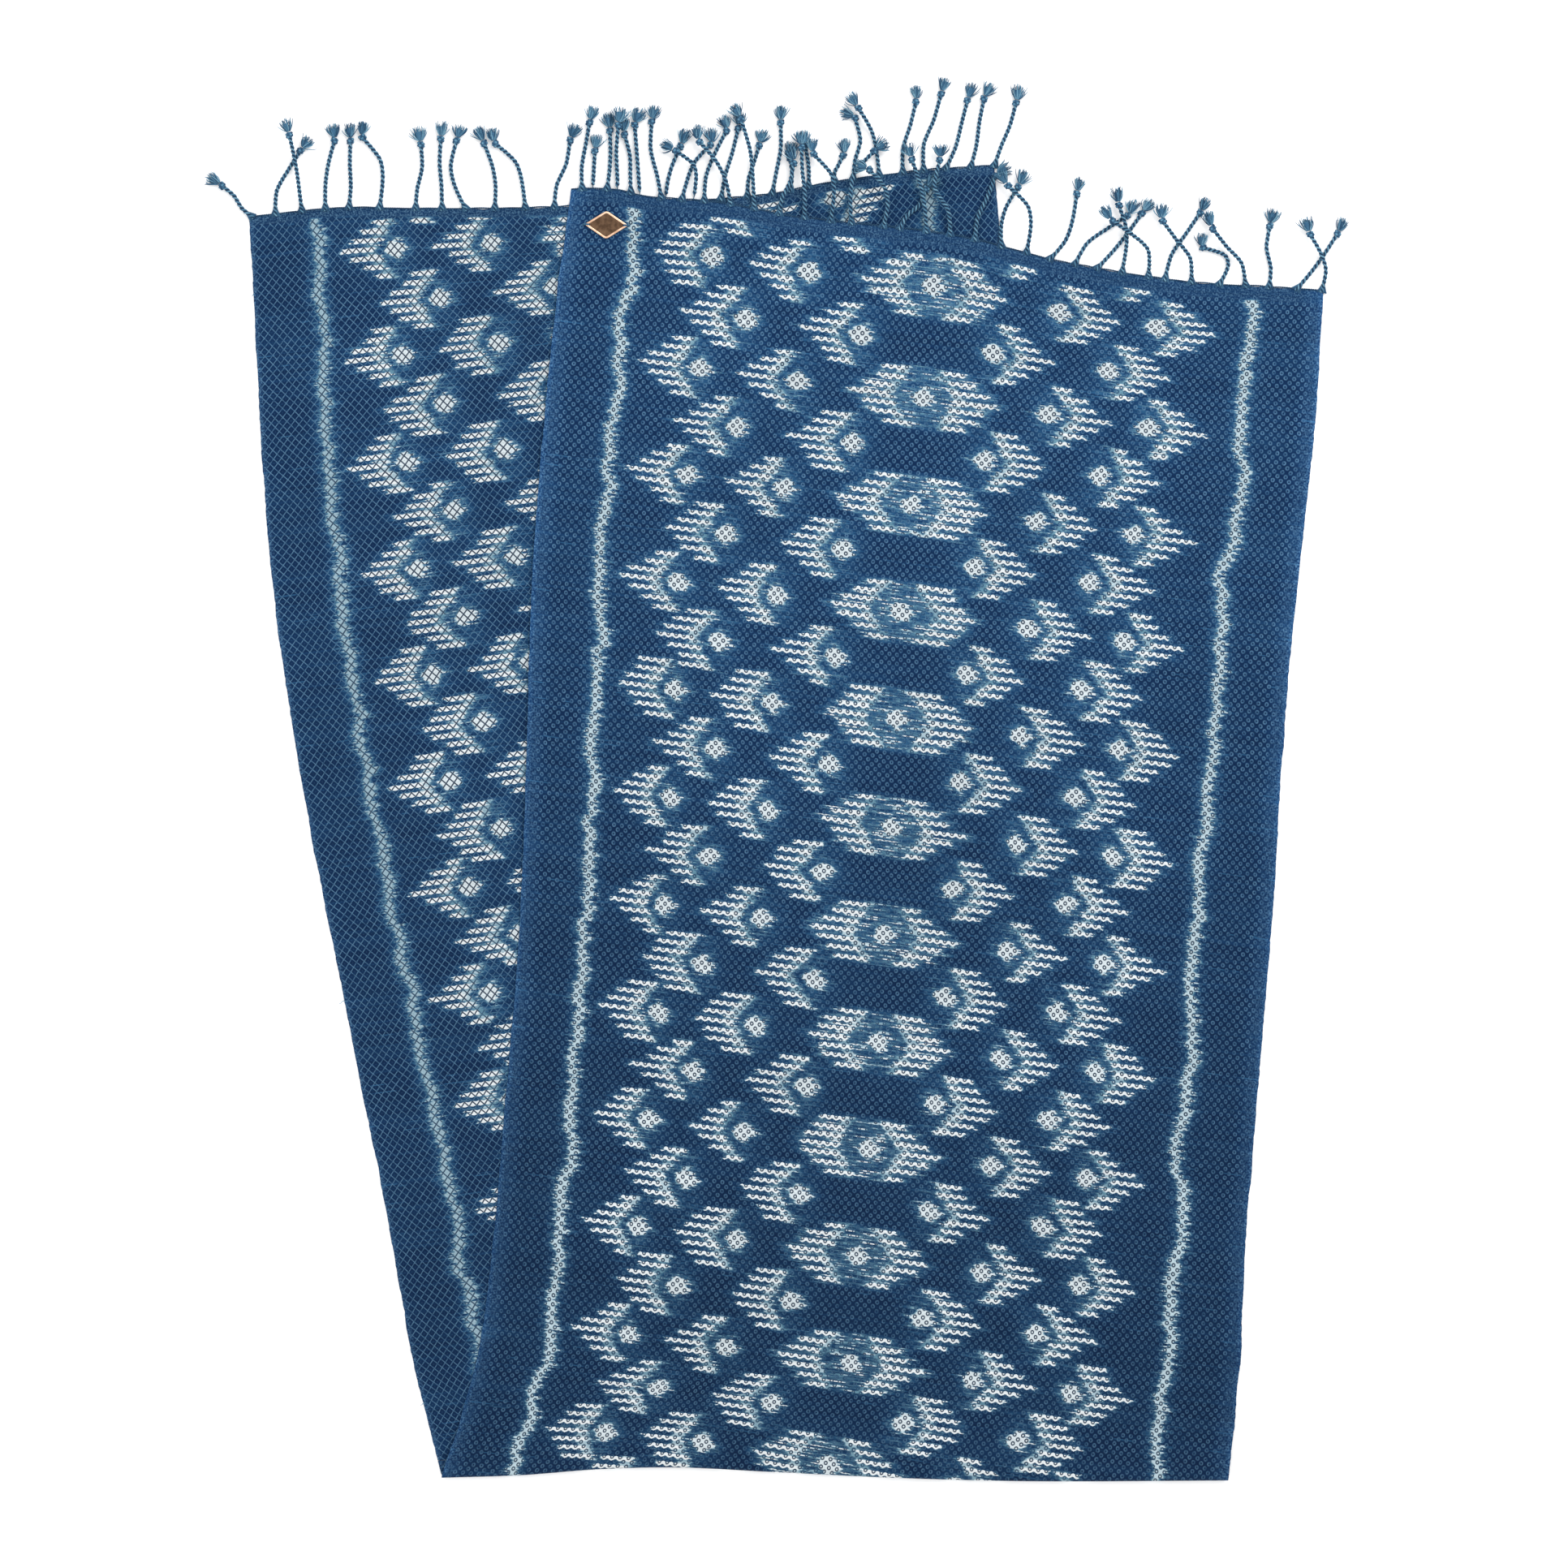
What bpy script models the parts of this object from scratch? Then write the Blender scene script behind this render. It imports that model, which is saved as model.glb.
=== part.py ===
"""A hand-woven indigo scarf, folded once crosswise and laid flat on a surface.

The upper stretch shows the face of the cloth and carries the fold turn. The lower stretch shows the
reverse and is swung out to the left. Both short ends have a twisted, knotted fringe, and a small bronze
lozenge is sewn near one corner. Metres, +Z up, resting on z = 0. The tables are in millimetres.
"""
import math
from collections import namedtuple

import bmesh
import bpy
from mathutils import Vector

MM = 0.001

# Driving sizes, in millimetres
CLOTH_THICKNESS = 1.2
SEAM_GAP = 0.3
LAYER_STEP = CLOTH_THICKNESS + SEAM_GAP
COLUMNS = 20
UPPER_ROWS = 24
LOWER_ROWS = 16

# The fold turn at the bottom of the photograph
FOLD_OUTER_RADIUS = 3.4
FOLD_RISE_LENGTH = 55.0
FOLD_STEPS = 6
FOLD_TAIL = 9.0
ROW_BUNCHING = 0.16

# The step down where the upper stretch leaves the lower one
STEP_START = 6.0
STEP_END = 48.0

# How far a wave of an end edge or of the fold line reaches into the cloth
WAVE_REACH = 110.0

# Soft raised folds die out towards the ends, the fold and the selvedges
RIDGE_END_START = 20.0
RIDGE_END_FULL = 90.0
RIDGE_SIDE_FULL = 0.15
RIDGE_TAPER = 0.35

# The strip of weft that the fringe hangs from, and how far in its inward way is looked up
STRIP_DEPTH = 3.5
STRIP_LOOK = 0.05

# How often a search for a place on an edge halves its interval
HALVINGS = 40

# Fringe strands
STRAND_WIDTH = 3.6
STRAND_HEIGHT = 3.2
KNOT_WIDTH = 5.8
KNOT_HEIGHT = 3.8
KNOT_LENGTH = 3.6
KNOT_SHARES = (0.3, 0.8)
NECK_LENGTH = 1.2
TUFT_WIDTH = 7.6
TUFT_HEIGHT = 3.0
TUFT_LENGTH = 8.0
FLOOR_CLEARANCE = 0.4
LEVEL_STEP = 4.2
LEVEL_RISE = 0.35
LEVEL_CHANGE = (0.55, 0.9)
BODY_RINGS = 6
ROOT_LEAD = 0.3
DROP_START = 2.0
DROP_END = 14.0

# The roots that lie pressed under the upper stretch
COVERED_HEIGHT = 0.8
COVERED_CLEARANCE = 0.3
COVERED_START = 1.5
COVERED_MARGIN = 4.0

# The four corners of a strand's section: side and lift, in the order of its root face
STRAND_CORNERS = ((-1.0, 1.0), (1.0, 1.0), (1.0, 0.0), (-1.0, 0.0))

# The bronze plate
PLATE_LENGTH = 32.0
PLATE_BREADTH = 21.0
PLATE_THICKNESS = 1.3
PLATE_RIM_WIDTH = 1.5
PLATE_RIM_HEIGHT = 0.4
PLATE_RIM_SLOPE = 0.2
PLATE_CORNER = 0.8
PLATE_HOLE_INSET = 3.6
PLATE_HOLE_RADIUS = 0.75
PLATE_HOLE_SIDES = 10
PLATE_HOLE_DEPTH = 5.2
PLATE_CENTRE = (-123.5, 401.0)
PLATE_TURN = -1.5

# Both side edges of each stretch, from the fringe end (share 0) to the fold (share 1)
Section = namedtuple("Section", "share left_x left_y right_x right_y")
UPPER_SECTIONS = [
    Section(0.0, -149, 427, 393, 354),
    Section(0.1, -161, 334, 388, 268),
    Section(0.2, -170, 241, 379, 182),
    Section(0.3, -177, 148, 370, 97),
    Section(0.4, -180, 55, 363, 11),
    Section(0.5, -183, -39, 358, -75),
    Section(0.6, -188, -132, 351, -161),
    Section(0.7, -196, -225, 344, -247),
    Section(0.8, -204, -318, 337, -332),
    Section(0.9, -216, -411, 333, -418),
    Section(1.0, -242, -501, 324, -503),
]
LOWER_SECTIONS = [
    Section(0.0, -381, 407, 156, 444),
    Section(0.1, -376, 315, 164, 349),
    Section(0.2, -371, 223, 175, 255),
    Section(0.3, -363, 132, 187, 160),
    Section(0.4, -350, 41, 201, 66),
    Section(0.5, -334, -50, 217, -29),
    Section(0.6, -316, -140, 235, -124),
    Section(0.7, -298, -231, 254, -218),
    Section(0.8, -280, -321, 276, -313),
    Section(0.9, -264, -412, 299, -407),
    Section(1.0, -242, -501, 324, -503),
]

# The lower stretch's right edge, most of it hidden, read from top to bottom
EdgePoint = namedtuple("EdgePoint", "down x")
LOWER_RIGHT_EDGE = [EdgePoint(-row.right_y, row.right_x) for row in LOWER_SECTIONS]

# How far an end edge lies from the straight line between its corners
Wave = namedtuple("Wave", "across out")
UPPER_END_WAVE = [
    Wave(0.0, 0), Wave(0.06, 4), Wave(0.1, 2), Wave(0.2, 4.5), Wave(0.3, 2), Wave(0.5, 4),
    Wave(0.58, 0), Wave(0.66, -5), Wave(0.82, -7), Wave(0.92, -3), Wave(1.0, 0),
]
LOWER_END_WAVE = [
    Wave(0.0, 0), Wave(0.12, 2), Wave(0.22, -2), Wave(0.36, -7), Wave(0.5, -9), Wave(0.68, -10),
    Wave(0.78, -4), Wave(0.9, 0), Wave(1.0, 0),
]
FOLD_WAVE = [
    Wave(0.0, 0), Wave(0.1, 2), Wave(0.2, 6.5), Wave(0.3, 8), Wave(0.42, 5), Wave(0.58, 1),
    Wave(0.75, -1), Wave(1.0, 0),
]

# Soft raised folds of the upper stretch: a line, how wide it is and how high
Ridge = namedtuple("Ridge", "x0 y0 x1 y1 width height")
RIDGES = [
    Ridge(-120, 330, 60, 270, 55, 1.8),
    Ridge(40, 120, 260, 60, 60, 1.6),
    Ridge(-150, -60, 60, -110, 55, 1.9),
    Ridge(90, -250, 300, -270, 55, 1.7),
    Ridge(250, 300, 330, 120, 45, 2.4),
    Ridge(-190, -330, -20, -390, 50, 1.8),
]

# A strand: where its root lies along the edge (x), its knot from the root, its sideways bows at one
# and two thirds, the turn of its tuft in degrees, its level at mid-way and at the knot, and how much
# of its root lies under the upper stretch
Strand = namedtuple("Strand", "root knot_x knot_y low_bow high_bow turn mid_level end_level covered")
UPPER_STRANDS = [
    Strand(-141, 5, 46, -2, -1, 4, 0, 0, 0),
    Strand(-123, 2, 40, 1, 1, -6, 0, 0, 0),
    Strand(-106, -4, 40, 1, 2, 14, 0, 0, 0),
    Strand(-84, -7, 53, -1, -3, 14, 0, 0, 0),
    Strand(-69, 19, 38, -3, -4, -40, 0, 0, 0),
    Strand(-53, 15, 49, -4, -3, -50, 0, 0, 0),
    Strand(-34, -21, 43, 4, 4, 34, 1, 1, 0),
    Strand(-17, -9, 62, 2, 3, -14, 1, 1, 0),
    Strand(1, 10, 34, -1, 1, -35, 1, 1, 0),
    Strand(19, -2, 48, 1, 0, 0, 1, 1, 0),
    Strand(38, -11, 46, 6, 8, 40, 1, 1, 0),
    Strand(53, 15, 50, -6, -8, 10, 1, 1, 0),
    Strand(76, -9, 38, 6, 7, -35, 1, 2, 0),
    Strand(88, 18, 26, -1, 2, 16, 0, 0, 0),
    Strand(107, -10, 49, 2, 2, 6, 1, 1, 0),
    Strand(124, -8, 51, 1, -6, -12, 1, 1, 0),
    Strand(142, 14, 44, -3, -1, 40, 0, 0, 0),
    Strand(161, 11, 41, -4, -4, -10, 0, 0, 0),
    Strand(179, -12, 46, 7, 9, 17, 1, 1, 0),
    Strand(196, 19, 45, 5, 4, 2, 0, 0, 0),
    Strand(214, 36, 34, -5, -3, -30, 0, 0, 0),
    Strand(230, 31, 38, 1, 1, 0, 0, 0, 0),
    Strand(248, -2, 46, 3, 4, 10, 1, 1, 0),
    Strand(267, -25, 38, 9, 6, 24, 2, 2, 0),
    Strand(279, 24, 46, -4, -2, -12, 0, 0, 0),
    Strand(298, -20, 42, 6, 3, 40, 1, 1, 0),
    Strand(318, -10, 26, 10, 11, 84, 0, 0, 0),
    Strand(337, -23, 39, 5, 2, 24, 1, 1, 0),
    Strand(354, 0, 42, 1, -2, 10, 0, 0, 0),
    Strand(374, 28, 38, 1, 1, -10, 0, 0, 0),
    Strand(392, -8, 38, 5, 4, 14, 1, 1, 0),
]
LOWER_STRANDS = [
    Strand(-379, -20, 21, -1, 1, -4, 0, 0, 0),
    Strand(-362, 17, 44, -5, -3, 12, 0, 0, 0),
    Strand(-343, -8, 52, 1, 1, -10, 1, 1, 0),
    Strand(-326, 6, 47, -2, -2, -24, 0, 0, 0),
    Strand(-309, 1, 46, 1, 0, -8, 0, 0, 0),
    Strand(-287, -11, 49, 6, 8, 46, 0, 0, 0),
    Strand(-261, 4, 44, 0, 2, -10, 0, 0, 0),
    Strand(-242, -1, 48, 0, -1, 4, 0, 0, 0),
    Strand(-225, -7, 47, -5, -6, 4, 0, 0, 0),
    Strand(-204, -7, 45, 3, 3, -8, 0, 0, 0),
    Strand(-182, -20, 45, 5, 7, 38, 0, 0, 0),
    Strand(-161, 11, 46, -2, 1, 16, 0, 0, 0),
    Strand(-134, 2, 37, 0, 0, 8, 0, 0, 14),
    Strand(-116, 1, 54, 0, -1, 8, 0, 1, 12),
    Strand(-99, -4, 54, 0, 0, 30, 0, 0, 8),
    Strand(-81, 10, 38, -2, -2, -4, 0, 0, 5),
    Strand(-61, -11, 34, 6, 8, -16, 1, 1, 4),
    Strand(-41, 12, 49, -1, 0, -14, 0, 0, 0),
    Strand(-22, 8, 35, -2, -1, -4, 0, 0, 0),
    Strand(-4, 6, 49, 1, 2, 0, 0, 0, 0),
    Strand(9, 0, 21, 1, 1, 18, 0, 0, 0),
    Strand(22, -2, 27, 1, 1, 0, 0, 0, 0),
    Strand(41, 5, 17, -2, -1, -20, 0, 0, 0),
    Strand(54, 2, 42, 1, 4, -60, 0, 0, 0),
    Strand(73, -14, 46, 3, 4, -4, 0, 1, 0),
    Strand(90, 9, 49, -3, -1, -16, 0, 0, 0),
    Strand(105, 12, 53, -4, -1, 0, 0, 0, 0),
    Strand(121, 15, 47, 2, 1, 4, 0, 0, 0),
    Strand(139, 9, 47, 1, 0, 16, 0, 0, 0),
    Strand(156, 15, 43, 0, 1, -6, 0, 0, 0),
]

# Paint: red, green and blue in linear light, roughness, metallic
Paint = namedtuple("Paint", "red green blue roughness metallic")
INDIGO_FACE = Paint(0.030, 0.085, 0.205, 0.85, 0.0)
INDIGO_REVERSE = Paint(0.026, 0.070, 0.170, 0.85, 0.0)
INDIGO_YARN = Paint(0.060, 0.165, 0.310, 0.85, 0.0)
BRONZE = Paint(0.300, 0.170, 0.095, 0.42, 1.0)


def between(low, high, share):
    """The value at a share of the way from low to high."""
    return low + (high - low) * share


def smooth_step(low, high, value):
    """0 below low, 1 above high, and a soft S between them."""
    share = min(max((value - low) / (high - low), 0.0), 1.0)
    return share * share * (3.0 - 2.0 * share)


def read_table(rows, key, column, value):
    """A column of a table, read at a value of its key column along a smooth curve through the rows."""
    keys = [getattr(row, key) for row in rows]
    heights = [getattr(row, column) for row in rows]
    last = len(rows) - 1
    index = 0
    while index < last - 1 and value > keys[index + 1]:
        index += 1
    width = keys[index + 1] - keys[index]
    share = min(max((value - keys[index]) / width, 0.0), 1.0)
    before = max(index - 1, 0)
    after = min(index + 2, last)
    slope_in = (heights[index + 1] - heights[before]) / (keys[index + 1] - keys[before])
    slope_out = (heights[after] - heights[index]) / (keys[after] - keys[index])
    curve = (1 + 2 * share) * (1 - share) ** 2 * heights[index]
    curve += share ** 2 * (3 - 2 * share) * heights[index + 1]
    curve += share * (1 - share) ** 2 * width * slope_in
    curve -= share ** 2 * (1 - share) * width * slope_out
    return curve


def stretch_length(sections, across):
    """The length of a stretch from its fringe end to the fold, at a share of its width."""
    first = sections[0]
    last = sections[-1]
    left = math.hypot(last.left_x - first.left_x, last.left_y - first.left_y)
    right = math.hypot(last.right_x - first.right_x, last.right_y - first.right_y)
    return between(left, right, across)


def stretch_point(sections, end_wave, across, share):
    """A point of a stretch seen from above: across its width, and along it from fringe end to fold."""
    left_x = read_table(sections, "share", "left_x", share)
    left_y = read_table(sections, "share", "left_y", share)
    right_x = read_table(sections, "share", "right_x", share)
    right_y = read_table(sections, "share", "right_y", share)
    length = stretch_length(sections, across)
    end_fade = 1.0 - smooth_step(0.0, WAVE_REACH, share * length)
    fold_fade = 1.0 - smooth_step(0.0, WAVE_REACH, (1.0 - share) * length)
    out = read_table(end_wave, "across", "out", across) * end_fade
    out += read_table(FOLD_WAVE, "across", "out", across) * fold_fade
    return between(left_x, right_x, across), between(left_y, right_y, across) + out


def upper_point(across, share):
    return stretch_point(UPPER_SECTIONS, UPPER_END_WAVE, across, share)


def lower_point(across, share):
    return stretch_point(LOWER_SECTIONS, LOWER_END_WAVE, across, share)


def ridge_height(x, y):
    """The highest soft fold at a point, in millimetres."""
    height = 0.0
    for ridge in RIDGES:
        start = Vector((ridge.x0, ridge.y0))
        along = Vector((ridge.x1, ridge.y1)) - start
        length = along.length
        offset = Vector((x, y)) - start
        position = offset.dot(along) / length
        side = (offset.x * along.y - offset.y * along.x) / length
        taper = RIDGE_TAPER * length
        fade_in = smooth_step(-taper, taper, position)
        fade_out = 1.0 - smooth_step(length - taper, length + taper, position)
        crest = math.exp(-(side / (0.5 * ridge.width)) ** 2)
        height = max(height, ridge.height * crest * fade_in * fade_out)
    return height


def lower_right_edge(y):
    """The x of the lower stretch's right edge at a y."""
    return read_table(LOWER_RIGHT_EDGE, "down", "x", -y)


def upper_rest(x, y):
    """The height of the surface that the upper stretch and its fringe rest on, with the seam gap."""
    beyond = x - lower_right_edge(y)
    return LAYER_STEP * (1.0 - smooth_step(STEP_START, STEP_END, beyond))


def upper_underside(across, share):
    """The height of the upper stretch's underside, with its soft folds and the rise to the fold turn."""
    x, y = upper_point(across, share)
    from_fold = (1.0 - share) * stretch_length(UPPER_SECTIONS, across)
    from_end = share * stretch_length(UPPER_SECTIONS, across)
    rise = 1.0 - smooth_step(FOLD_OUTER_RADIUS, FOLD_RISE_LENGTH, from_fold)
    inner = smooth_step(RIDGE_END_START, RIDGE_END_FULL, min(from_fold, from_end))
    inner *= smooth_step(0.0, RIDGE_SIDE_FULL, min(across, 1.0 - across))
    resting = upper_rest(x, y) + ridge_height(x, y) * inner
    turn_top = 2.0 * FOLD_OUTER_RADIUS - CLOTH_THICKNESS
    return between(resting, turn_top, rise)


def new_object(name, mesh, collection, paint):
    """An object with its own Principled material."""
    material = bpy.data.materials.new(name + "_material")
    material.use_nodes = True
    shader = material.node_tree.nodes["Principled BSDF"]
    shader.inputs["Base Color"].default_value = (paint.red, paint.green, paint.blue, 1.0)
    shader.inputs["Roughness"].default_value = paint.roughness
    shader.inputs["Metallic"].default_value = paint.metallic
    material.diffuse_color = (paint.red, paint.green, paint.blue, 1.0)
    mesh.materials.clear()
    mesh.materials.append(material)
    item = bpy.data.objects.new(name, mesh)
    collection.objects.link(item)
    return item


def sheet_mesh(name, rows):
    """An open surface through rows of points, which are in millimetres."""
    sheet = bmesh.new()
    grid = [[sheet.verts.new(Vector(point) * MM) for point in row] for row in rows]
    for low, high in zip(grid, grid[1:]):
        for index in range(len(low) - 1):
            sheet.faces.new((low[index], high[index], high[index + 1], low[index + 1]))
    sheet.normal_update()
    mesh = bpy.data.meshes.new(name)
    sheet.to_mesh(mesh)
    sheet.free()
    mesh.shade_smooth()
    return mesh


def thicken(item):
    """Turn an open cloth surface into a wall, on the side that its faces look to."""
    wall = item.modifiers.new("Cloth thickness", "SOLIDIFY")
    wall.thickness = CLOTH_THICKNESS * MM
    wall.offset = 1.0
    wall.use_even_offset = True
    return item


def make_upper_stretch(collection):
    """The face of the cloth, its fold turn, and a short tail under the turn."""
    columns = [index / COLUMNS for index in range(COLUMNS + 1)]
    rows = []
    for row in range(UPPER_ROWS + 1):
        points = []
        for across in columns:
            length = stretch_length(UPPER_SECTIONS, across)
            start = (STRIP_DEPTH + SEAM_GAP) / length
            stop = 1.0 - FOLD_OUTER_RADIUS / length
            share = between(start, stop, bunched(row / UPPER_ROWS))
            x, y = upper_point(across, share)
            points.append((x, y, upper_underside(across, share)))
        rows.append(points)
    inner_radius = FOLD_OUTER_RADIUS - CLOTH_THICKNESS
    for step in range(1, FOLD_STEPS + 1):
        angle = math.pi * step / FOLD_STEPS
        points = []
        for across in columns:
            from_fold = FOLD_OUTER_RADIUS - inner_radius * math.sin(angle)
            x, y = turn_point(across, from_fold, step / FOLD_STEPS)
            points.append((x, y, FOLD_OUTER_RADIUS + inner_radius * math.cos(angle)))
        rows.append(points)
    tail = []
    for across in columns:
        x, y = turn_point(across, FOLD_OUTER_RADIUS + FOLD_TAIL, 1.0)
        tail.append((x, y, CLOTH_THICKNESS))
    rows.append(tail)
    mesh = sheet_mesh("upper_stretch", rows)
    return thicken(new_object("upper_stretch", mesh, collection, INDIGO_FACE))


def bunched(share):
    """Rows of the upper stretch lie closer together towards the fold turn."""
    return share + ROW_BUNCHING * math.sin(math.pi * share) * share


def turn_point(across, from_fold, turned):
    """A point of the fold turn seen from above, passing from the upper stretch to the lower one."""
    upper_x, upper_y = upper_point(across, 1.0 - from_fold / stretch_length(UPPER_SECTIONS, across))
    lower_x, lower_y = lower_point(across, 1.0 - from_fold / stretch_length(LOWER_SECTIONS, across))
    return between(upper_x, lower_x, turned), between(upper_y, lower_y, turned)


def make_lower_stretch(collection):
    """The reverse of the cloth, flat on the surface from its fringe end to the tail of the turn."""
    rows = []
    for row in range(LOWER_ROWS + 1):
        points = []
        for column in range(COLUMNS + 1):
            across = column / COLUMNS
            length = stretch_length(LOWER_SECTIONS, across)
            start = (STRIP_DEPTH + SEAM_GAP) / length
            stop = 1.0 - (FOLD_OUTER_RADIUS + FOLD_TAIL + SEAM_GAP) / length
            x, y = lower_point(across, between(start, stop, row / LOWER_ROWS))
            points.append((x, y, 0.0))
        rows.append(points)
    mesh = sheet_mesh("lower_stretch", rows)
    return thicken(new_object("lower_stretch", mesh, collection, INDIGO_REVERSE))


def across_at(point_at, x):
    """The share across a stretch at which its end edge has a given x."""
    low = 0.0
    high = 1.0
    for _ in range(HALVINGS):
        middle = 0.5 * (low + high)
        if point_at(middle, 0.0)[0] < x:
            low = middle
        else:
            high = middle
    return 0.5 * (low + high)


def strand_route(strand, root):
    """Points of a strand from its root to its knot, seen from above, and the way that it ends."""
    reach = Vector((strand.knot_x, strand.knot_y))
    side = Vector((reach.y, -reach.x)).normalized()
    first = root + reach / 3.0 + side * strand.low_bow
    second = root + reach * (2.0 / 3.0) + side * strand.high_bow
    knot = root + reach
    guides = [root - (first - root) * ROOT_LEAD, root, first, second, knot, knot + (knot - second)]
    points = []
    for step in range(1, BODY_RINGS + 1):
        place = 3.0 * step / BODY_RINGS
        index = min(int(place), 2)
        share = place - index
        before, start, stop, after = guides[index:index + 4]
        point = start * (1.0 - share) ** 2 * (1.0 + 2.0 * share)
        point = point + stop * share ** 2 * (3.0 - 2.0 * share)
        point = point + (stop - before) * (0.5 * share * (1.0 - share) ** 2)
        point = point - (after - start) * (0.5 * share ** 2 * (1.0 - share))
        points.append(point)
    return points, (knot - second).normalized()


def strand_level(strand, share):
    """How many strands a strand lies above the surface, at a share of its reach."""
    level = strand.mid_level * smooth_step(0.0, LEVEL_RISE, share)
    return between(level, strand.end_level, smooth_step(*LEVEL_CHANGE, share))


def strand_rings(strand, root, rest_at):
    """The rings of a strand: middle, width, height and underside of each, in millimetres."""
    points, ending = strand_route(strand, root)
    rings = []
    if strand.covered:
        outward = (points[0] - root).normalized()
        for distance in (COVERED_START, strand.covered):
            place = root + outward * distance
            rings.append((place, STRAND_WIDTH, COVERED_HEIGHT, COVERED_CLEARANCE))
        clear = strand.covered + COVERED_MARGIN
        points = [point for point in points if (point - root).length > clear]
    for point in points:
        share = (point - root).length / math.hypot(strand.knot_x, strand.knot_y)
        lift = FLOOR_CLEARANCE + LEVEL_STEP * strand_level(strand, share)
        rings.append((point, STRAND_WIDTH, STRAND_HEIGHT, rest_at(point) + lift))
    middle = rings[-1][0]
    underside = rings[-1][3]
    for share in KNOT_SHARES:
        place = middle + ending * (share * KNOT_LENGTH)
        rings.append((place, KNOT_WIDTH, KNOT_HEIGHT, underside))
    turn = math.radians(-strand.turn)
    tuft = Vector((
        ending.x * math.cos(turn) - ending.y * math.sin(turn),
        ending.x * math.sin(turn) + ending.y * math.cos(turn),
    ))
    neck = middle + ending * KNOT_LENGTH + tuft * NECK_LENGTH
    rings.append((neck, STRAND_WIDTH, STRAND_HEIGHT, underside))
    rings.append((neck + tuft * TUFT_LENGTH, TUFT_WIDTH, TUFT_HEIGHT, underside))
    return rings


def make_fringe(name, collection, strands, point_at, rest_at):
    """A strip along an end edge with a strand drawn out of it at each root."""
    half = 0.5 * STRAND_WIDTH
    stations = [(0.0, None)]
    for number, strand in enumerate(strands):
        stations.append((across_at(point_at, strand.root - half), number))
        stations.append((across_at(point_at, strand.root + half), None))
    stations.append((1.0, None))
    fringe = bmesh.new()
    sections = []
    for across, _ in stations:
        outer = Vector(point_at(across, 0.0))
        inward = (Vector(point_at(across, STRIP_LOOK)) - outer).normalized()
        inner = outer + inward * STRIP_DEPTH
        corners = []
        for spot, lift in ((inner, 0.0), (inner, 1.0), (outer, 1.0), (outer, 0.0)):
            z = rest_at(spot) + CLOTH_THICKNESS * lift
            corners.append(fringe.verts.new(Vector((spot.x, spot.y, z)) * MM))
        sections.append(corners)
    fringe.faces.new(sections[0])
    fringe.faces.new(sections[-1][::-1])
    roots = {}
    for index in range(len(sections) - 1):
        here = sections[index]
        there = sections[index + 1]
        for corner in range(4):
            following = (corner + 1) % 4
            face = fringe.faces.new((here[corner], there[corner], there[following], here[following]))
            if corner == 2 and stations[index][1] is not None:
                roots[stations[index][1]] = face
    for number, strand in enumerate(strands):
        root = Vector(point_at(across_at(point_at, strand.root), 0.0))
        draw_strand(fringe, roots[number], root, strand_rings(strand, root, rest_at))
    fringe.normal_update()
    mesh = bpy.data.meshes.new(name)
    fringe.to_mesh(mesh)
    fringe.free()
    return new_object(name, mesh, collection, INDIGO_YARN)


def draw_strand(fringe, face, root, rings):
    """Draw a strand out of its root face through its rings."""
    middles = [root] + [ring[0] for ring in rings]
    for index, (middle, width, height, underside) in enumerate(rings):
        ahead = middles[min(index + 2, len(rings))]
        direction = (ahead - middles[index]).normalized()
        side = Vector((direction.y, -direction.x)) * (0.5 * width)
        face = bmesh.ops.extrude_discrete_faces(fringe, faces=[face])["faces"][0]
        for loop, (sideways, lift) in zip(face.loops, STRAND_CORNERS):
            spot = middle + side * sideways
            loop.vert.co = Vector((spot.x, spot.y, underside + height * lift)) * MM


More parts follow.
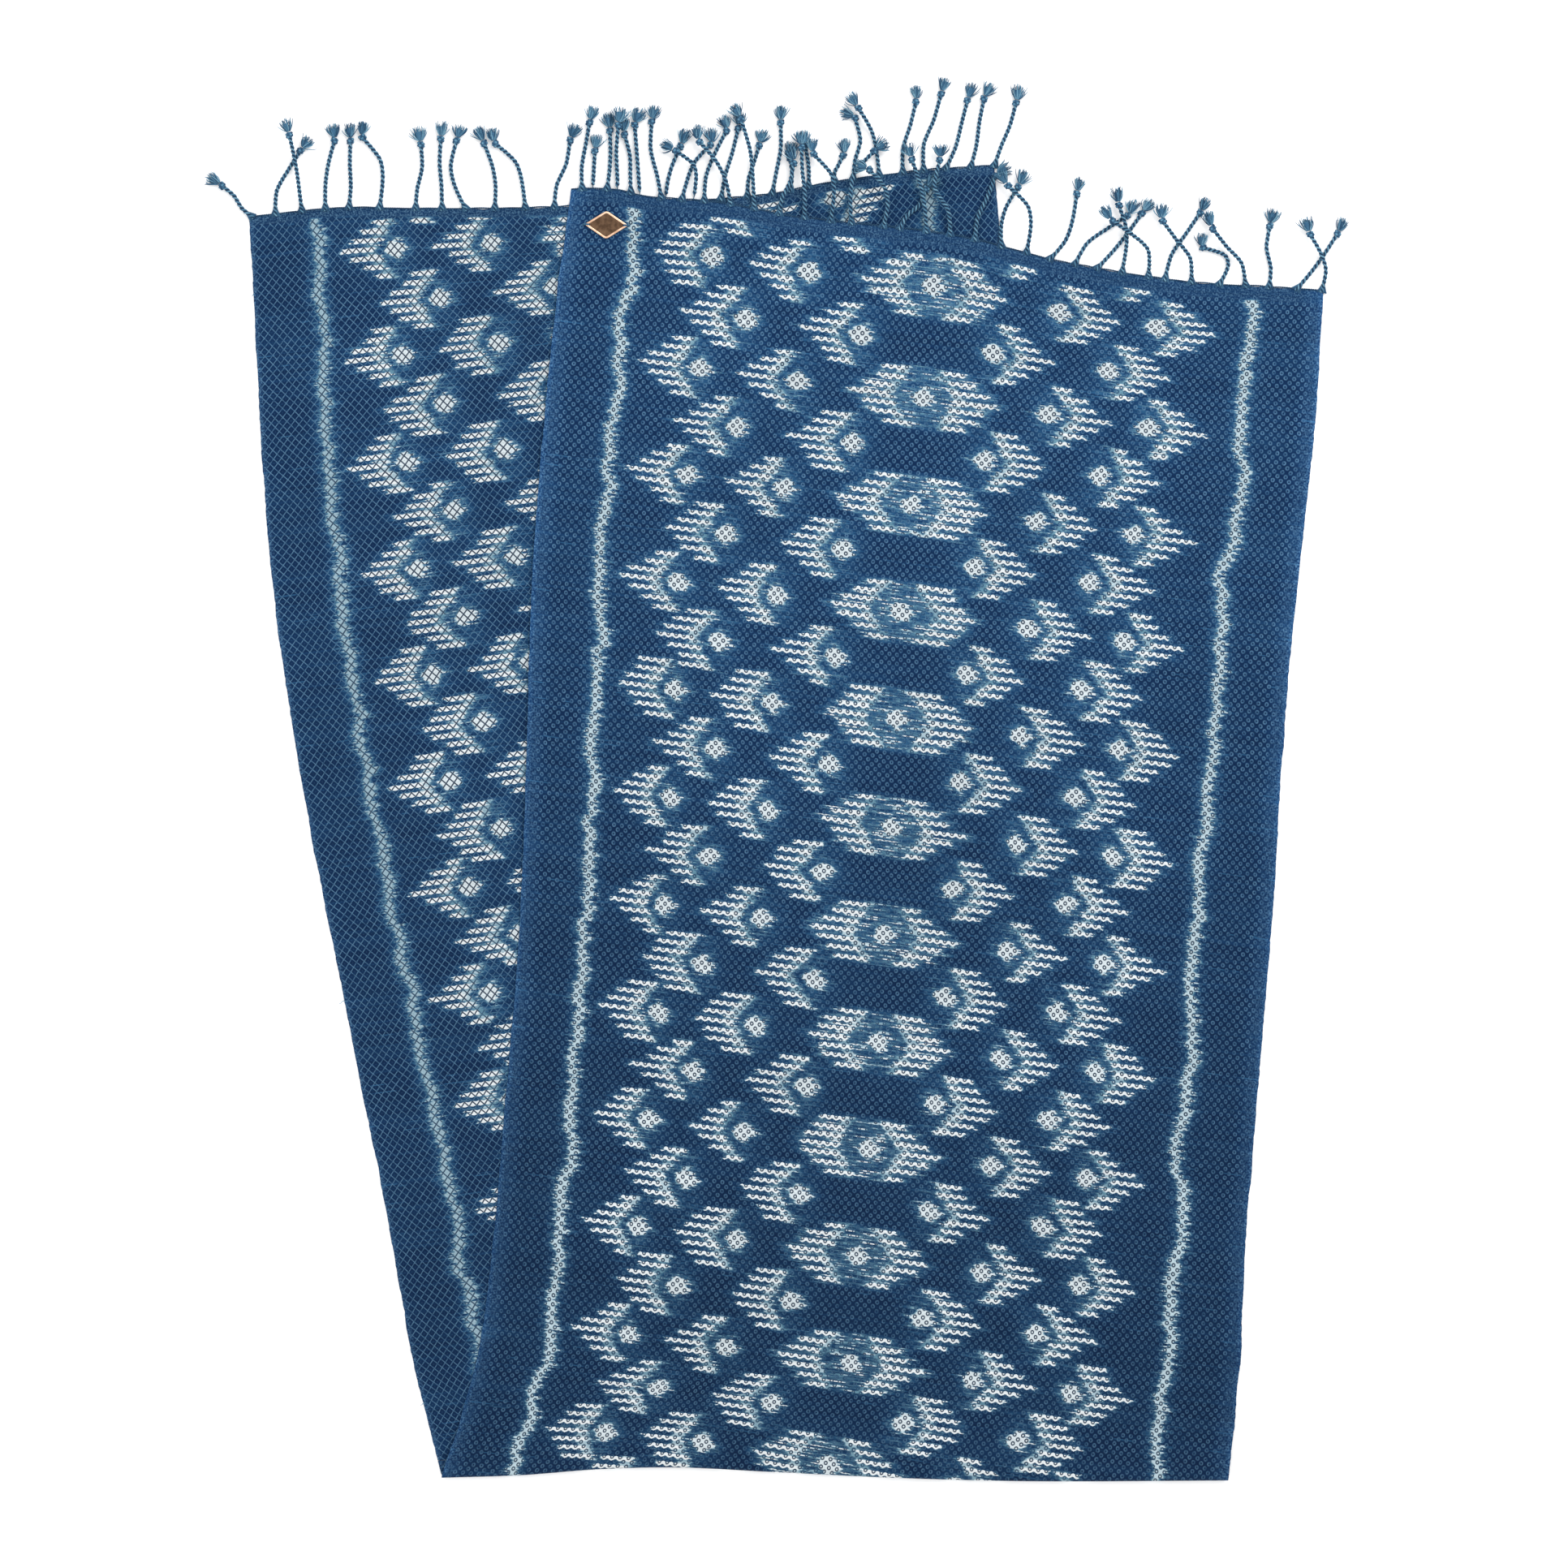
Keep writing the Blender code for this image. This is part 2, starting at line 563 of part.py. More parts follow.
def make_plate(collection, cutters):
    """A bronze lozenge with a raised rim and a stitch hole near each point."""
    plate = bmesh.new()
    lozenge = bmesh.ops.create_circle(plate, cap_ends=True, segments=4, radius=1.0)["verts"]
    for vert in lozenge:
        vert.co.x *= 0.5 * PLATE_LENGTH * MM
        vert.co.y *= 0.5 * PLATE_BREADTH * MM
    bmesh.ops.bevel(plate, geom=lozenge, offset=PLATE_CORNER * MM, segments=2, affect="VERTICES")
    raised = bmesh.ops.extrude_face_region(plate, geom=list(plate.faces))["geom"]
    top_verts = [item for item in raised if isinstance(item, bmesh.types.BMVert)]
    top_faces = [item for item in raised if isinstance(item, bmesh.types.BMFace)]
    for vert in top_verts:
        vert.co.z += PLATE_THICKNESS * MM
    bmesh.ops.inset_region(plate, faces=top_faces, thickness=PLATE_RIM_WIDTH * MM)
    bmesh.ops.inset_region(plate, faces=top_faces, thickness=PLATE_RIM_SLOPE * MM)
    for face in top_faces:
        for vert in face.verts:
            vert.co.z -= PLATE_RIM_HEIGHT * MM
    bmesh.ops.recalc_face_normals(plate, faces=plate.faces)
    mesh = bpy.data.meshes.new("label_plate")
    plate.to_mesh(mesh)
    plate.free()
    item = new_object("label_plate", mesh, collection, BRONZE)
    x, y = PLATE_CENTRE
    z = upper_rest(x, y) + CLOTH_THICKNESS + SEAM_GAP
    item.location = Vector((x, y, z)) * MM
    item.rotation_euler.z = math.radians(PLATE_TURN)
    for sign in (-1.0, 1.0):
        bpy.ops.mesh.primitive_cylinder_add(
            vertices=PLATE_HOLE_SIDES,
            radius=PLATE_HOLE_RADIUS * MM,
            depth=PLATE_HOLE_DEPTH * MM,
            location=(sign * (0.5 * PLATE_LENGTH - PLATE_HOLE_INSET) * MM, 0.0, 0.0),
        )
        cutter = bpy.context.object
        cutter.name = "stitch_hole_cutter"
        cutter.hide_render = True
        cutter.display_type = "WIRE"
        cutter.parent = item
        for holder in list(cutter.users_collection):
            holder.objects.unlink(cutter)
        cutters.objects.link(cutter)
        hole = item.modifiers.new("Stitch hole", "BOOLEAN")
        hole.operation = "DIFFERENCE"
        hole.solver = "EXACT"
        hole.object = cutter
    return item


def centre_over_origin(items, parent):
    """Move the whole scarf so that its box is centred over the origin and stands on z = 0."""
    bpy.context.view_layer.update()
    graph = bpy.context.evaluated_depsgraph_get()
    lows = [math.inf] * 3
    highs = [-math.inf] * 3
    for item in items:
        evaluated = item.evaluated_get(graph)
        for vert in evaluated.data.vertices:
            spot = item.matrix_world @ vert.co
            for axis in range(3):
                lows[axis] = min(lows[axis], spot[axis])
                highs[axis] = max(highs[axis], spot[axis])
    parent.location.x = -0.5 * (lows[0] + highs[0])
    parent.location.y = -0.5 * (lows[1] + highs[1])
    parent.location.z = -lows[2]


def lower_rest(spot):
    """The lower fringe and its strip rest on the floor."""
    return 0.0


def upper_fringe_rest(spot):
    """The upper fringe rests on the lower stretch, and past its end on the floor."""
    lower_end = lower_point(across_at(lower_point, spot.x), 0.0)[1]
    upper_end = upper_point(across_at(upper_point, spot.x), 0.0)[1]
    on_cloth = 1.0 - smooth_step(DROP_START, DROP_END, spot.y - max(lower_end, upper_end))
    return upper_rest(spot.x, spot.y) * on_cloth


def main():
    for item in list(bpy.data.objects):
        bpy.data.objects.remove(item, do_unlink=True)
    collection = bpy.data.collections.new("Scarf")
    cutters = bpy.data.collections.new("Cutters")
    bpy.context.scene.collection.children.link(collection)
    bpy.context.scene.collection.children.link(cutters)
    middle = bpy.data.objects.new("scarf_middle", None)
    collection.objects.link(middle)
    items = [
        make_lower_stretch(collection),
        make_upper_stretch(collection),
        make_fringe("lower_fringe", collection, LOWER_STRANDS, lower_point, lower_rest),
        make_fringe("upper_fringe", collection, UPPER_STRANDS, upper_point, upper_fringe_rest),
        make_plate(collection, cutters),
    ]
    for item in items:
        item.parent = middle
    centre_over_origin(items, middle)


main()
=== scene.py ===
"""Looks of a hand-woven indigo scarf that is folded once crosswise and laid flat.

The tables are in millimetres, seen from above, and frame_shift carries them into the frame.
The cloth is drawn in its own coordinates: across its width, and along its length from the fringe end
of the upper stretch, round the fold, to the fringe end of the lower stretch.
"""
import math
import random
from collections import namedtuple
from functools import partialmethod

import bpy
from mathutils import Matrix, Vector, noise

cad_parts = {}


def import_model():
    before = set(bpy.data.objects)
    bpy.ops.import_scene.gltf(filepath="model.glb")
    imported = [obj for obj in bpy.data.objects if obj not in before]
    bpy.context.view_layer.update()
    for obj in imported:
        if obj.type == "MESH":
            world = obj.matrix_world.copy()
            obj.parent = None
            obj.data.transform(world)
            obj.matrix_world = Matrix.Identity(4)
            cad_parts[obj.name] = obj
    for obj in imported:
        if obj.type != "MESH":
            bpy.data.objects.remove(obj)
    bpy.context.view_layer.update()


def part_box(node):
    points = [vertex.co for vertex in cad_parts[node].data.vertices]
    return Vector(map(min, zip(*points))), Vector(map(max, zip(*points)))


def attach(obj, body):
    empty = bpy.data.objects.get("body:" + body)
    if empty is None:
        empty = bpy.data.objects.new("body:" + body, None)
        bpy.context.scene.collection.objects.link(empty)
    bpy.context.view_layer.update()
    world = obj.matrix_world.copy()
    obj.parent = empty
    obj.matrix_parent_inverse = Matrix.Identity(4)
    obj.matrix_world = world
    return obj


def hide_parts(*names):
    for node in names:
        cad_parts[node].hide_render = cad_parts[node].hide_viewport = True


MM = 0.001

# Sizes that the solids have, in millimetres
CLOTH_THICKNESS = 1.2
SEAM_GAP = 0.3
LAYER_STEP = CLOTH_THICKNESS + SEAM_GAP
FOLD_OUTER_RADIUS = 3.4
FOLD_RISE_LENGTH = 55.0
FOLD_TAIL = 9.0
STEP_START = 6.0
STEP_END = 48.0
WAVE_REACH = 110.0
RIDGE_END_START = 20.0
RIDGE_END_FULL = 90.0
RIDGE_SIDE_FULL = 0.15
RIDGE_TAPER = 0.35
STRAND_WIDTH = 3.6
STRAND_HEIGHT = 3.2
KNOT_WIDTH = 5.8
KNOT_HEIGHT = 3.8
KNOT_LENGTH = 3.6
KNOT_SHARES = (0.3, 0.8)
NECK_LENGTH = 1.2
TUFT_WIDTH = 7.6
TUFT_HEIGHT = 3.0
TUFT_LENGTH = 8.0
FLOOR_CLEARANCE = 0.4
LEVEL_STEP = 4.2
LEVEL_RISE = 0.35
LEVEL_CHANGE = (0.55, 0.9)
BODY_RINGS = 6
ROOT_LEAD = 0.3
DROP_START = 2.0
DROP_END = 14.0
COVERED_HEIGHT = 0.8
COVERED_CLEARANCE = 0.3
COVERED_START = 1.5
COVERED_MARGIN = 4.0
PLATE_LENGTH = 32.0
PLATE_BREADTH = 21.0
PLATE_THICKNESS = 1.3
PLATE_HOLE_INSET = 3.6
PLATE_HOLE_RADIUS = 0.75
PLATE_CENTRE = (-123.5, 401.0)
PLATE_TURN = -1.5
HALVINGS = 40

# The dressed cloth
CLOTH_WIDTH = 550.0
COLUMNS = 96
UPPER_ROWS = 380
LOWER_ROWS = 380
FOLD_STEPS = 14
EDGE_COLUMNS = (0.0, 0.0009, 0.0024, 0.0048)

# The weave and the ikat repeat, in millimetres
CELL_ACROSS = 5.73
CELL_ALONG = 6.45
PICK = CELL_ALONG / 8.0
REPEAT = 12.0 * CELL_ALONG
HALF_REPEAT = 0.5 * REPEAT
FIRST_ROW = 37.8
CENTRE_LINE = 268.0
TIP_STEP = 5.9
EYE_HALF_WIDTH = 10.0
EYE_HALF_LENGTH = 8.6
STRIPE_FROM_CENTRE = 219.3
RIGHT_STRIPE_SHIFT = 10.5
STRIPE_HALF_WIDTH = 5.9

# Both side edges of each stretch, from the fringe end (share 0) to the fold (share 1)
Section = namedtuple("Section", "share left_x left_y right_x right_y")
UPPER_SECTIONS = [
    Section(0.0, -149, 427, 393, 354),
    Section(0.1, -161, 334, 388, 268),
    Section(0.2, -170, 241, 379, 182),
    Section(0.3, -177, 148, 370, 97),
    Section(0.4, -180, 55, 363, 11),
    Section(0.5, -183, -39, 358, -75),
    Section(0.6, -188, -132, 351, -161),
    Section(0.7, -196, -225, 344, -247),
    Section(0.8, -204, -318, 337, -332),
    Section(0.9, -216, -411, 333, -418),
    Section(1.0, -242, -501, 324, -503),
]
LOWER_SECTIONS = [
    Section(0.0, -381, 407, 156, 444),
    Section(0.1, -376, 315, 164, 349),
    Section(0.2, -371, 223, 175, 255),
    Section(0.3, -363, 132, 187, 160),
    Section(0.4, -350, 41, 201, 66),
    Section(0.5, -334, -50, 217, -29),
    Section(0.6, -316, -140, 235, -124),
    Section(0.7, -298, -231, 254, -218),
    Section(0.8, -280, -321, 276, -313),
    Section(0.9, -264, -412, 299, -407),
    Section(1.0, -242, -501, 324, -503),
]

# The lower stretch's right edge, most of it hidden, and the upper one's left edge, read from top to bottom
EdgePoint = namedtuple("EdgePoint", "down x")
LOWER_RIGHT_EDGE = [EdgePoint(-row.right_y, row.right_x) for row in LOWER_SECTIONS]
UPPER_LEFT_EDGE = [EdgePoint(-row.left_y, row.left_x) for row in UPPER_SECTIONS]

# How far an end edge lies from the straight line between its corners
Wave = namedtuple("Wave", "across out")
UPPER_END_WAVE = [
    Wave(0.0, 0), Wave(0.06, 4), Wave(0.1, 2), Wave(0.2, 4.5), Wave(0.3, 2), Wave(0.5, 4),
    Wave(0.58, 0), Wave(0.66, -5), Wave(0.82, -7), Wave(0.92, -3), Wave(1.0, 0),
]
LOWER_END_WAVE = [
    Wave(0.0, 0), Wave(0.12, 2), Wave(0.22, -2), Wave(0.36, -7), Wave(0.5, -9), Wave(0.68, -10),
    Wave(0.78, -4), Wave(0.9, 0), Wave(1.0, 0),
]
FOLD_WAVE = [
    Wave(0.0, 0), Wave(0.1, 2), Wave(0.2, 6.5), Wave(0.3, 8), Wave(0.42, 5), Wave(0.58, 1),
    Wave(0.75, -1), Wave(1.0, 0),
]

# Soft raised folds of the upper stretch: a line, how wide it is and how high
Ridge = namedtuple("Ridge", "x0 y0 x1 y1 width height")
RIDGES = [
    Ridge(-120, 330, 60, 270, 55, 1.8),
    Ridge(40, 120, 260, 60, 60, 1.6),
    Ridge(-150, -60, 60, -110, 55, 1.9),
    Ridge(90, -250, 300, -270, 55, 1.7),
    Ridge(250, 300, 330, 120, 45, 2.4),
    Ridge(-190, -330, -20, -390, 50, 1.8),
]

# A strand: where its root lies along the edge (x), its knot from the root, its sideways bows at one
# and two thirds, the turn of its tuft in degrees, its level at mid-way and at the knot, and how much
# of its root lies under the upper stretch
STRAND_FIELDS = "root knot_x knot_y low_bow high_bow turn mid_level end_level covered"
Strand = namedtuple("Strand", STRAND_FIELDS, defaults=(0, 0, 0))
UPPER_STRANDS = [
    Strand(-141, 5, 46, -2, -1, 4),
    Strand(-123, 2, 40, 1, 1, -6),
    Strand(-106, -4, 40, 1, 2, 14),
    Strand(-84, -7, 53, -1, -3, 14),
    Strand(-69, 19, 38, -3, -4, -40),
    Strand(-53, 15, 49, -4, -3, -50),
    Strand(-34, -21, 43, 4, 4, 34, 1, 1),
    Strand(-17, -9, 62, 2, 3, -14, 1, 1),
    Strand(1, 10, 34, -1, 1, -35, 1, 1),
    Strand(19, -2, 48, 1, 0, 0, 1, 1),
    Strand(38, -11, 46, 6, 8, 40, 1, 1),
    Strand(53, 15, 50, -6, -8, 10, 1, 1),
    Strand(76, -9, 38, 6, 7, -35, 1, 2),
    Strand(88, 18, 26, -1, 2, 16),
    Strand(107, -10, 49, 2, 2, 6, 1, 1),
    Strand(124, -8, 51, 1, -6, -12, 1, 1),
    Strand(142, 14, 44, -3, -1, 40),
    Strand(161, 11, 41, -4, -4, -10),
    Strand(179, -12, 46, 7, 9, 17, 1, 1),
    Strand(196, 19, 45, 5, 4, 2),
    Strand(214, 36, 34, -5, -3, -30),
    Strand(230, 31, 38, 1, 1, 0),
    Strand(248, -2, 46, 3, 4, 10, 1, 1),
    Strand(267, -25, 38, 9, 6, 24, 2, 2),
    Strand(279, 24, 46, -4, -2, -12),
    Strand(298, -20, 42, 6, 3, 40, 1, 1),
    Strand(318, -10, 26, 10, 11, 84),
    Strand(337, -23, 39, 5, 2, 24, 1, 1),
    Strand(354, 0, 42, 1, -2, 10),
    Strand(374, 28, 38, 1, 1, -10),
    Strand(392, -8, 38, 5, 4, 14, 1, 1),
]
LOWER_STRANDS = [
    Strand(-379, -20, 21, -1, 1, -4),
    Strand(-362, 17, 44, -5, -3, 12),
    Strand(-343, -8, 52, 1, 1, -10, 1, 1),
    Strand(-326, 6, 47, -2, -2, -24),
    Strand(-309, 1, 46, 1, 0, -8),
    Strand(-287, -11, 49, 6, 8, 46),
    Strand(-261, 4, 44, 0, 2, -10),
    Strand(-242, -1, 48, 0, -1, 4),
    Strand(-225, -7, 47, -5, -6, 4),
    Strand(-204, -7, 45, 3, 3, -8),
    Strand(-182, -20, 45, 5, 7, 38),
    Strand(-161, 11, 46, -2, 1, 16),
    Strand(-134, 2, 37, 0, 0, 8, 0, 0, 14),
    Strand(-116, 1, 54, 0, -1, 8, 0, 1, 12),
    Strand(-99, -4, 54, 0, 0, 30, 0, 0, 8),
    Strand(-81, 10, 38, -2, -2, -4, 0, 0, 5),
    Strand(-61, -11, 34, 6, 8, -16, 1, 1, 4),
    Strand(-41, 12, 49, -1, 0, -14),
    Strand(-22, 8, 35, -2, -1, -4),
    Strand(-4, 6, 49, 1, 2, 0),
    Strand(9, 0, 21, 1, 1, 18),
    Strand(22, -2, 27, 1, 1, 0),
    Strand(41, 5, 17, -2, -1, -20),
    Strand(54, 2, 42, 1, 4, -60),
    Strand(73, -14, 46, 3, 4, -4, 0, 1),
    Strand(90, 9, 49, -3, -1, -16),
    Strand(105, 12, 53, -4, -1, 0),
    Strand(121, 15, 47, 2, 1, 4),
    Strand(139, 9, 47, 1, 0, 16),
    Strand(156, 15, 43, 0, 1, -6),
]

# A chevron of dashes with an eye: which rows it is in, how far its tip and its eye lie from the centre
# line of the cloth, how deep its middle dash is, how much each dash lies further in, and its bleed
Motif = namedtuple("Motif", "rows tip eye reach slope bleed")
MOTIFS = [
    Motif("even", 207.0, 162.0, 31.0, 4.3, 0.27),
    Motif("even", 137.0, 91.0, 31.0, 4.5, 0.28),
    Motif("even", 55.0, 0.0, 33.0, 4.3, 0.50),
    Motif("odd", 178.5, 131.5, 31.0, 4.5, 0.27),
    Motif("odd", 94.0, 48.0, 31.0, 4.5, 0.29),
]

# Steps from navy to undyed weft: how much dye is gone, and the colour in linear light
Dye = namedtuple("Dye", "gone red green blue")
DYES = [
    Dye(0.00, 0.0028, 0.0195, 0.0680),
    Dye(0.18, 0.0068, 0.0390, 0.1120),
    Dye(0.38, 0.0200, 0.0860, 0.1900),
    Dye(0.62, 0.1060, 0.2300, 0.3120),
    Dye(0.85, 0.3900, 0.4950, 0.5450),
    Dye(1.00, 0.6100, 0.6450, 0.6600),
]
WARP_LIT = (0.0700, 0.1600, 0.2700, 1.0)
WARP_SHADED = (0.0190, 0.0650, 0.1450, 1.0)
NET_LIT = (0.0820, 0.1800, 0.2900, 1.0)
WARP_IN_WHITE = (0.0140, 0.0300, 0.0600, 1.0)


def between(low, high, share):
    return low + (high - low) * share


def smooth_step(low, high, value):
    """0 below low, 1 above high, and a soft S between them."""
    share = min(max((value - low) / (high - low), 0.0), 1.0)
    return share * share * (3.0 - 2.0 * share)


def read_table(rows, key, column, value):
    """A column of a table, read at a value of its key column along a smooth curve through the rows."""
    keys = [getattr(row, key) for row in rows]
    heights = [getattr(row, column) for row in rows]
    last = len(rows) - 1
    index = 0
    while index < last - 1 and value > keys[index + 1]:
        index += 1
    width = keys[index + 1] - keys[index]
    share = min(max((value - keys[index]) / width, 0.0), 1.0)
    before = max(index - 1, 0)
    after = min(index + 2, last)
    slope_in = (heights[index + 1] - heights[before]) / (keys[index + 1] - keys[before])
    slope_out = (heights[after] - heights[index]) / (keys[after] - keys[index])
    curve = (1 + 2 * share) * (1 - share) ** 2 * heights[index]
    curve += share ** 2 * (3 - 2 * share) * heights[index + 1]
    curve += share * (1 - share) ** 2 * width * slope_in
    curve -= share ** 2 * (1 - share) * width * slope_out
    return curve


def stretch_length(sections, across):
    """The length of a stretch from its fringe end to the fold, at a share of its width."""
    first = sections[0]
    last = sections[-1]
    left = math.hypot(last.left_x - first.left_x, last.left_y - first.left_y)
    right = math.hypot(last.right_x - first.right_x, last.right_y - first.right_y)
    return between(left, right, across)


def stretch_point(sections, end_wave, across, share):
    """A point of a stretch seen from above: across its width, and along it from fringe end to fold."""
    left_x = read_table(sections, "share", "left_x", share)
    left_y = read_table(sections, "share", "left_y", share)
    right_x = read_table(sections, "share", "right_x", share)
    right_y = read_table(sections, "share", "right_y", share)
    length = stretch_length(sections, across)
    end_fade = 1.0 - smooth_step(0.0, WAVE_REACH, share * length)
    fold_fade = 1.0 - smooth_step(0.0, WAVE_REACH, (1.0 - share) * length)
    out = read_table(end_wave, "across", "out", across) * end_fade
    out += read_table(FOLD_WAVE, "across", "out", across) * fold_fade
    return between(left_x, right_x, across), between(left_y, right_y, across) + out


def upper_point(across, share):
    return stretch_point(UPPER_SECTIONS, UPPER_END_WAVE, across, share)


def lower_point(across, share):
    return stretch_point(LOWER_SECTIONS, LOWER_END_WAVE, across, share)


def ridge_height(x, y):
    """The highest soft fold at a point, in millimetres."""
    height = 0.0
    for ridge in RIDGES:
        start = Vector((ridge.x0, ridge.y0))
        along = Vector((ridge.x1, ridge.y1)) - start
        length = along.length
        offset = Vector((x, y)) - start
        position = offset.dot(along) / length
        side = (offset.x * along.y - offset.y * along.x) / length
        taper = RIDGE_TAPER * length
        fade_in = smooth_step(-taper, taper, position)
        fade_out = 1.0 - smooth_step(length - taper, length + taper, position)
        crest = math.exp(-(side / (0.5 * ridge.width)) ** 2)
        height = max(height, ridge.height * crest * fade_in * fade_out)
    return height


def lower_right_edge(y):
    """The x of the lower stretch's right edge at a y."""
    return read_table(LOWER_RIGHT_EDGE, "down", "x", -y)


def upper_rest(x, y):
    """The height of the surface that the upper stretch and its fringe rest on, with the seam gap."""
    beyond = x - lower_right_edge(y)
    return LAYER_STEP * (1.0 - smooth_step(STEP_START, STEP_END, beyond))


def upper_underside(across, share):
    """The height of the upper stretch's underside, with its soft folds and the rise to the fold turn."""
    x, y = upper_point(across, share)
    from_fold = (1.0 - share) * stretch_length(UPPER_SECTIONS, across)
    from_end = share * stretch_length(UPPER_SECTIONS, across)
    rise = 1.0 - smooth_step(FOLD_OUTER_RADIUS, FOLD_RISE_LENGTH, from_fold)
    inner = smooth_step(RIDGE_END_START, RIDGE_END_FULL, min(from_fold, from_end))
    inner *= smooth_step(0.0, RIDGE_SIDE_FULL, min(across, 1.0 - across))
    resting = upper_rest(x, y) + ridge_height(x, y) * inner
    turn_top = 2.0 * FOLD_OUTER_RADIUS - CLOTH_THICKNESS
    return between(resting, turn_top, rise)


def turn_point(across, from_fold, turned):
    """A point of the fold turn seen from above, passing from the upper stretch to the lower one."""
    upper_x, upper_y = upper_point(across, 1.0 - from_fold / stretch_length(UPPER_SECTIONS, across))
    lower_x, lower_y = lower_point(across, 1.0 - from_fold / stretch_length(LOWER_SECTIONS, across))
    return between(upper_x, lower_x, turned), between(upper_y, lower_y, turned)


def across_at(point_at, x):
    """The share across a stretch at which its end edge has a given x."""
    low = 0.0
    high = 1.0
    for _ in range(HALVINGS):
        middle = 0.5 * (low + high)
        if point_at(middle, 0.0)[0] < x:
            low = middle
        else:
            high = middle
    return 0.5 * (low + high)


def curve_point(before, start, stop, after, share):
    """A point between start and stop on a smooth curve through all four."""
    point = start * (1.0 - share) ** 2 * (1.0 + 2.0 * share)
    point = point + stop * share ** 2 * (3.0 - 2.0 * share)
    point = point + (stop - before) * (0.5 * share * (1.0 - share) ** 2)
    return point - (after - start) * (0.5 * share ** 2 * (1.0 - share))


def strand_route(strand, root):
    """Points of a strand from its root to its knot, seen from above, and the way that it ends."""
    reach = Vector((strand.knot_x, strand.knot_y))
    side = Vector((reach.y, -reach.x)).normalized()
    first = root + reach / 3.0 + side * strand.low_bow
    second = root + reach * (2.0 / 3.0) + side * strand.high_bow
    knot = root + reach
    guides = [root - (first - root) * ROOT_LEAD, root, first, second, knot, knot + (knot - second)]
    points = []
    for step in range(1, BODY_RINGS + 1):
        place = 3.0 * step / BODY_RINGS
        index = min(int(place), 2)
        points.append(curve_point(*guides[index:index + 4], place - index))
    return points, (knot - second).normalized()


def strand_level(strand, share):
    """How many levels a strand lies above the surface, at a share of its reach."""
    level = strand.mid_level * smooth_step(0.0, LEVEL_RISE, share)
    return between(level, strand.end_level, smooth_step(*LEVEL_CHANGE, share))


def strand_rings(strand, root, rest_at):
    """The rings of a strand: middle, width, height and underside of each, in millimetres."""
    points, ending = strand_route(strand, root)
    rings = []
    if strand.covered:
        outward = (points[0] - root).normalized()
        for distance in (COVERED_START, strand.covered):
            place = root + outward * distance
            rings.append((place, STRAND_WIDTH, COVERED_HEIGHT, COVERED_CLEARANCE))
        clear = strand.covered + COVERED_MARGIN
        points = [point for point in points if (point - root).length > clear]
    for point in points:
        share = (point - root).length / math.hypot(strand.knot_x, strand.knot_y)
        lift = FLOOR_CLEARANCE + LEVEL_STEP * strand_level(strand, share)
        rings.append((point, STRAND_WIDTH, STRAND_HEIGHT, rest_at(point) + lift))
    middle = rings[-1][0]
    underside = rings[-1][3]
    for share in KNOT_SHARES:
        place = middle + ending * (share * KNOT_LENGTH)
        rings.append((place, KNOT_WIDTH, KNOT_HEIGHT, underside))
    turn = math.radians(-strand.turn)
    tuft = Vector((
        ending.x * math.cos(turn) - ending.y * math.sin(turn),
        ending.x * math.sin(turn) + ending.y * math.cos(turn),
    ))
    neck = middle + ending * KNOT_LENGTH + tuft * NECK_LENGTH
    rings.append((neck, STRAND_WIDTH, STRAND_HEIGHT, underside))
    rings.append((neck + tuft * TUFT_LENGTH, TUFT_WIDTH, TUFT_HEIGHT, underside))
    return rings


def lower_rest(spot):
    """The lower fringe and its strip rest on the floor."""
    return 0.0


def upper_fringe_rest(spot):
    """The upper fringe rests on the lower stretch, and past its end on the floor."""
    lower_end = lower_point(across_at(lower_point, spot.x), 0.0)[1]
    upper_end = upper_point(across_at(upper_point, spot.x), 0.0)[1]
    on_cloth = 1.0 - smooth_step(DROP_START, DROP_END, spot.y - max(lower_end, upper_end))
    return upper_rest(spot.x, spot.y) * on_cloth


def frame_shift():
    """From the tables to the frame: the plate's box is centred on its named place."""
    low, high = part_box("label_plate")
    middle = (Vector(low) + Vector(high)) * 0.5
    return Vector((middle.x - PLATE_CENTRE[0] * MM, middle.y - PLATE_CENTRE[1] * MM, 0.0))


class Surface:
    """Points, faces and the values at the points of one piece, in millimetres until it is built."""

    def __init__(self, shift):
        self.shift = shift
        self.points = []
        self.faces = []
        self.slots = []
        self.shades = []

    def point(self, spot, shade=0.0):
        self.points.append(Vector(spot) * MM + self.shift)
        self.shades.append(shade)
        return len(self.points) - 1

    def face(self, corners, slot=0):
        self.faces.append(corners)
        self.slots.append(slot)

    def build(self, name, materials, sharp_angle=60.0):
        mesh = bpy.data.meshes.new(name)
        mesh.from_pydata(self.points, [], self.faces)
        for material in materials:
            mesh.materials.append(material)
        mesh.polygons.foreach_set("material_index", self.slots)
        shade = mesh.attributes.new("shade", "FLOAT", "POINT")
        shade.data.foreach_set("value", self.shades)
        mesh.shade_smooth()
        mesh.set_sharp_from_angle(angle=math.radians(sharp_angle))
        item = bpy.data.objects.new(name, mesh)
        bpy.context.scene.collection.objects.link(item)
        return item


